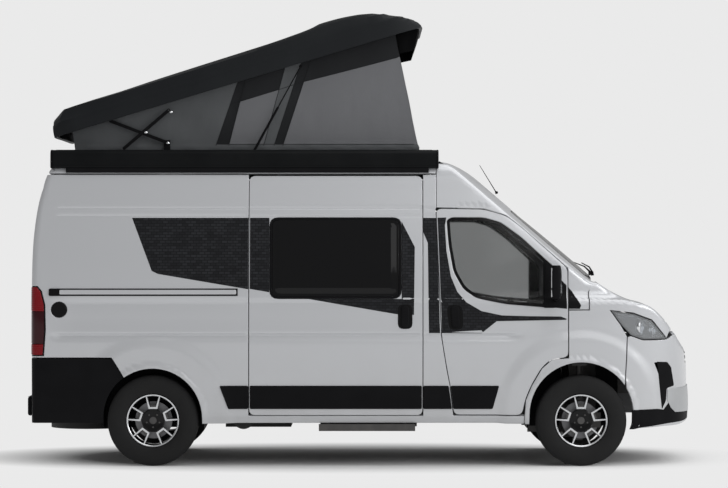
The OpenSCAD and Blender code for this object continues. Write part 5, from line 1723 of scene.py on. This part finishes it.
# finishes of the pieces that keep their shape
def dress(node, coat):
    for obj in bpy.data.objects:
        if obj.get("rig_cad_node") == node:
            obj.data.materials.clear()
            obj.data.materials.append(mats[coat])


dressed = {
    "black": ("grille", "roof_frame", "lower_arms", "upper_arms", "strut_rods", "strut_barrels", "dashboard",
              "wheel_houses", "steering_wheel"),
    "cast": ("knuckle_left", "knuckle_right", "engine_block", "front_subframe", "rear_axle", "exhaust"),
    "seal": ("spare_wheel", "underfloor_tanks"),
    "under": ("floor_pan", "crash_beam"),
    "tread": ("entry_step",)}
for coat, nodes in dressed.items():
    for node in nodes:
        dress(node, coat)
print("carried pieces dressed")


# seats
def pad(name, centre, size, tilt, crown, channels=0, stands=()):
    # a stuffed form: rounded box whose faces swell and whose sides pull in between the corners
    around, layers = 56, 30
    verts = []
    c, s = math.cos(tilt), math.sin(tilt)

    def bend(value):
        return math.copysign(abs(value) ** 0.32, value)

    for k in range(layers + 1):
        p = -math.pi / 2 + math.pi * k / layers
        for i in range(around):
            a = 2 * math.pi * i / around
            u = bend(math.cos(p)) * bend(math.cos(a))
            v = bend(math.cos(p)) * bend(math.sin(a))
            w = bend(math.sin(p))
            swell = 1 + crown * (1 - u * u) * (1 - v * v)
            waist = 1 - 0.05 * (1 - w * w)
            x, y, z = u * size[0] * waist, v * size[1] * waist, w * size[2] * swell
            if channels and abs(w) > 0.75:
                line = math.cos(u * math.pi * channels)
                z -= math.copysign(0.006 * max(0.0, line) ** 24, w)
                z -= math.copysign(0.006 * math.exp(-((abs(v) - 0.62) / 0.035) ** 2), w)
            verts.append((centre[0] + x * c + z * s, centre[1] + y, centre[2] - x * s + z * c))
    shape = Shape().add(verts, ringFaces(layers + 1, around), "seat")
    obj = shape.finish(name, 60, stands=stands)
    return obj


# half sizes along, across and through each pad
seat = {"y": 0.430, "cushion": (0.262, 0.238, 0.058), "back": (0.330, 0.236, 0.056),
        "head": (0.088, 0.122, 0.040), "arm": (0.170, 0.016, 0.028)}
for sign, label in ((-1, "Right"), (1, "Left")):
    y = seat["y"] * sign
    pad("seatCushion" + label, (frontX - 0.970, y, 0.862), seat["cushion"], math.radians(-5), 0.25,
        channels=3, stands="cab_seats" if sign < 0 else ())
    pad("seatBack" + label, (frontX - 1.272, y, 1.210), seat["back"], math.radians(-100), 0.25, channels=3)
    pad("headRest" + label, (frontX - 1.296, y, 1.655), seat["head"], math.radians(-95), 0.3)
    for side in (-1, 1):
        pad("armRest%s%d" % (label, (side + 3) // 2), (frontX - 1.075, y + side * 0.260, 1.110),
            seat["arm"], 0, 0.1)
plinth = Shape()
for sign in (-1, 1):
    y = seat["y"] * sign
    plinth.box((frontX - 1.180, y - 0.150, 0.536), (frontX - 0.820, y + 0.150, 0.800), "black", 0.012)
    plinth.box((frontX - 1.245, y - 0.200, 0.798), (frontX - 0.730, y + 0.200, 0.822), "black", 0.008)
    for side in (-1, 1):
        plinth.tube([(frontX - 1.290, y + side * 0.055, 1.500), (frontX - 1.295, y + side * 0.055, 1.640)],
                    0.006, "chrome", 10)
plinth.finish("seatPlinths")
print("seats ready")


# room, light and camera
room = {"tone": 0.823, "fill": 0.80, "strength": 0.44}


def floorNodes(here):
    return {"Base Color": noise(here, 0.4, 2.0).mix((0.80, 0.80, 0.80), (0.83, 0.83, 0.83))}


def floorCoat():
    # pale floor near the van that fades into the same even tone as the backdrop
    made = material("paleFloor", floorNodes, Roughness=0.9)
    tree = made.node_tree
    here = Sock(tree, tree.nodes.new("ShaderNodeTexCoord").outputs["Object"])
    away = axisOf(here, "X") * axisOf(here, "X") / 11.0 + axisOf(here, "Y") * axisOf(here, "Y") / 2.6
    fade = here.node("ShaderNodeClamp", {}, {"Value": away * 1.6 - 0.8})
    glow = here.node("ShaderNodeEmission", {}, {"Color": (room["tone"],) * 3 + (1,)})
    near = Sock(tree, tree.nodes["Principled BSDF"].outputs[0])
    both = here.node("ShaderNodeMixShader", {}, {0: fade, 1: near, 2: glow})
    tree.links.new(both.socket, tree.nodes["Material Output"].inputs["Surface"])
    return made


floor = {"half": 60, "height": -0.001}
floorMesh = bpy.data.meshes.new("floor")
floorMesh.from_pydata([(x * floor["half"], y * floor["half"], floor["height"])
                       for x, y in ((-1, -1), (1, -1), (1, 1), (-1, 1))], [], [(0, 1, 2, 3)])
floorMesh.materials.append(floorCoat())
floorObject = bpy.data.objects.new("floor", floorMesh)
bpy.context.scene.collection.objects.link(floorObject)


def light(name, place, aim, size, power):
    data = bpy.data.lights.new(name, "AREA")
    data.shape = "RECTANGLE"
    data.size, data.size_y = size
    data.energy = power
    obj = bpy.data.objects.new(name, data)
    obj.location = place
    obj.rotation_euler = (Vector(aim) - Vector(place)).to_track_quat("-Z", "Y").to_euler()
    bpy.context.scene.collection.objects.link(obj)


light("overhead", (3.5, -1, 9), (0.5, 0, 1), (12, 8), 520)
light("sideSoft", (6, -11, 6), (1, 0, 1.4), (10, 6), 240)
light("frontSoft", (11, -6, 5), (1, 0, 1.2), (6, 5), 420)


def backdrop():
    # what the camera sees behind the van is one even tone; the paint is lit by a softer room
    world = bpy.data.worlds.new("room")
    bpy.context.scene.world = world
    world.use_nodes = True
    tree = world.node_tree
    lit = tree.nodes["Background"]
    lit.inputs["Color"].default_value = (room["fill"],) * 3 + (1,)
    lit.inputs["Strength"].default_value = room["strength"]
    here = Sock(tree, lit.outputs[0])
    seen = here.node("ShaderNodeBackground", {}, {"Color": (room["tone"],) * 3 + (1,)})
    ray = here.node("ShaderNodeLightPath", {}, {}, "Is Camera Ray")
    both = here.node("ShaderNodeMixShader", {}, {0: ray, 1: here, 2: seen})
    tree.links.new(both.socket, tree.nodes["World Output"].inputs["Surface"])


backdrop()

view = {"place": (0.0095, -23.02, 1.789), "lens": 135.3, "sensor": 36, "size": (728, 488)}
camera = bpy.data.objects.new("camera", bpy.data.cameras.new("camera"))
bpy.context.scene.collection.objects.link(camera)
camera.location = view["place"]
camera.rotation_euler = (math.radians(90), 0, 0)
camera.data.lens = view["lens"]
camera.data.sensor_width = view["sensor"]
scene = bpy.context.scene
scene.camera = camera
scene.render.resolution_x, scene.render.resolution_y = view["size"]
scene.view_settings.view_transform = "Standard"
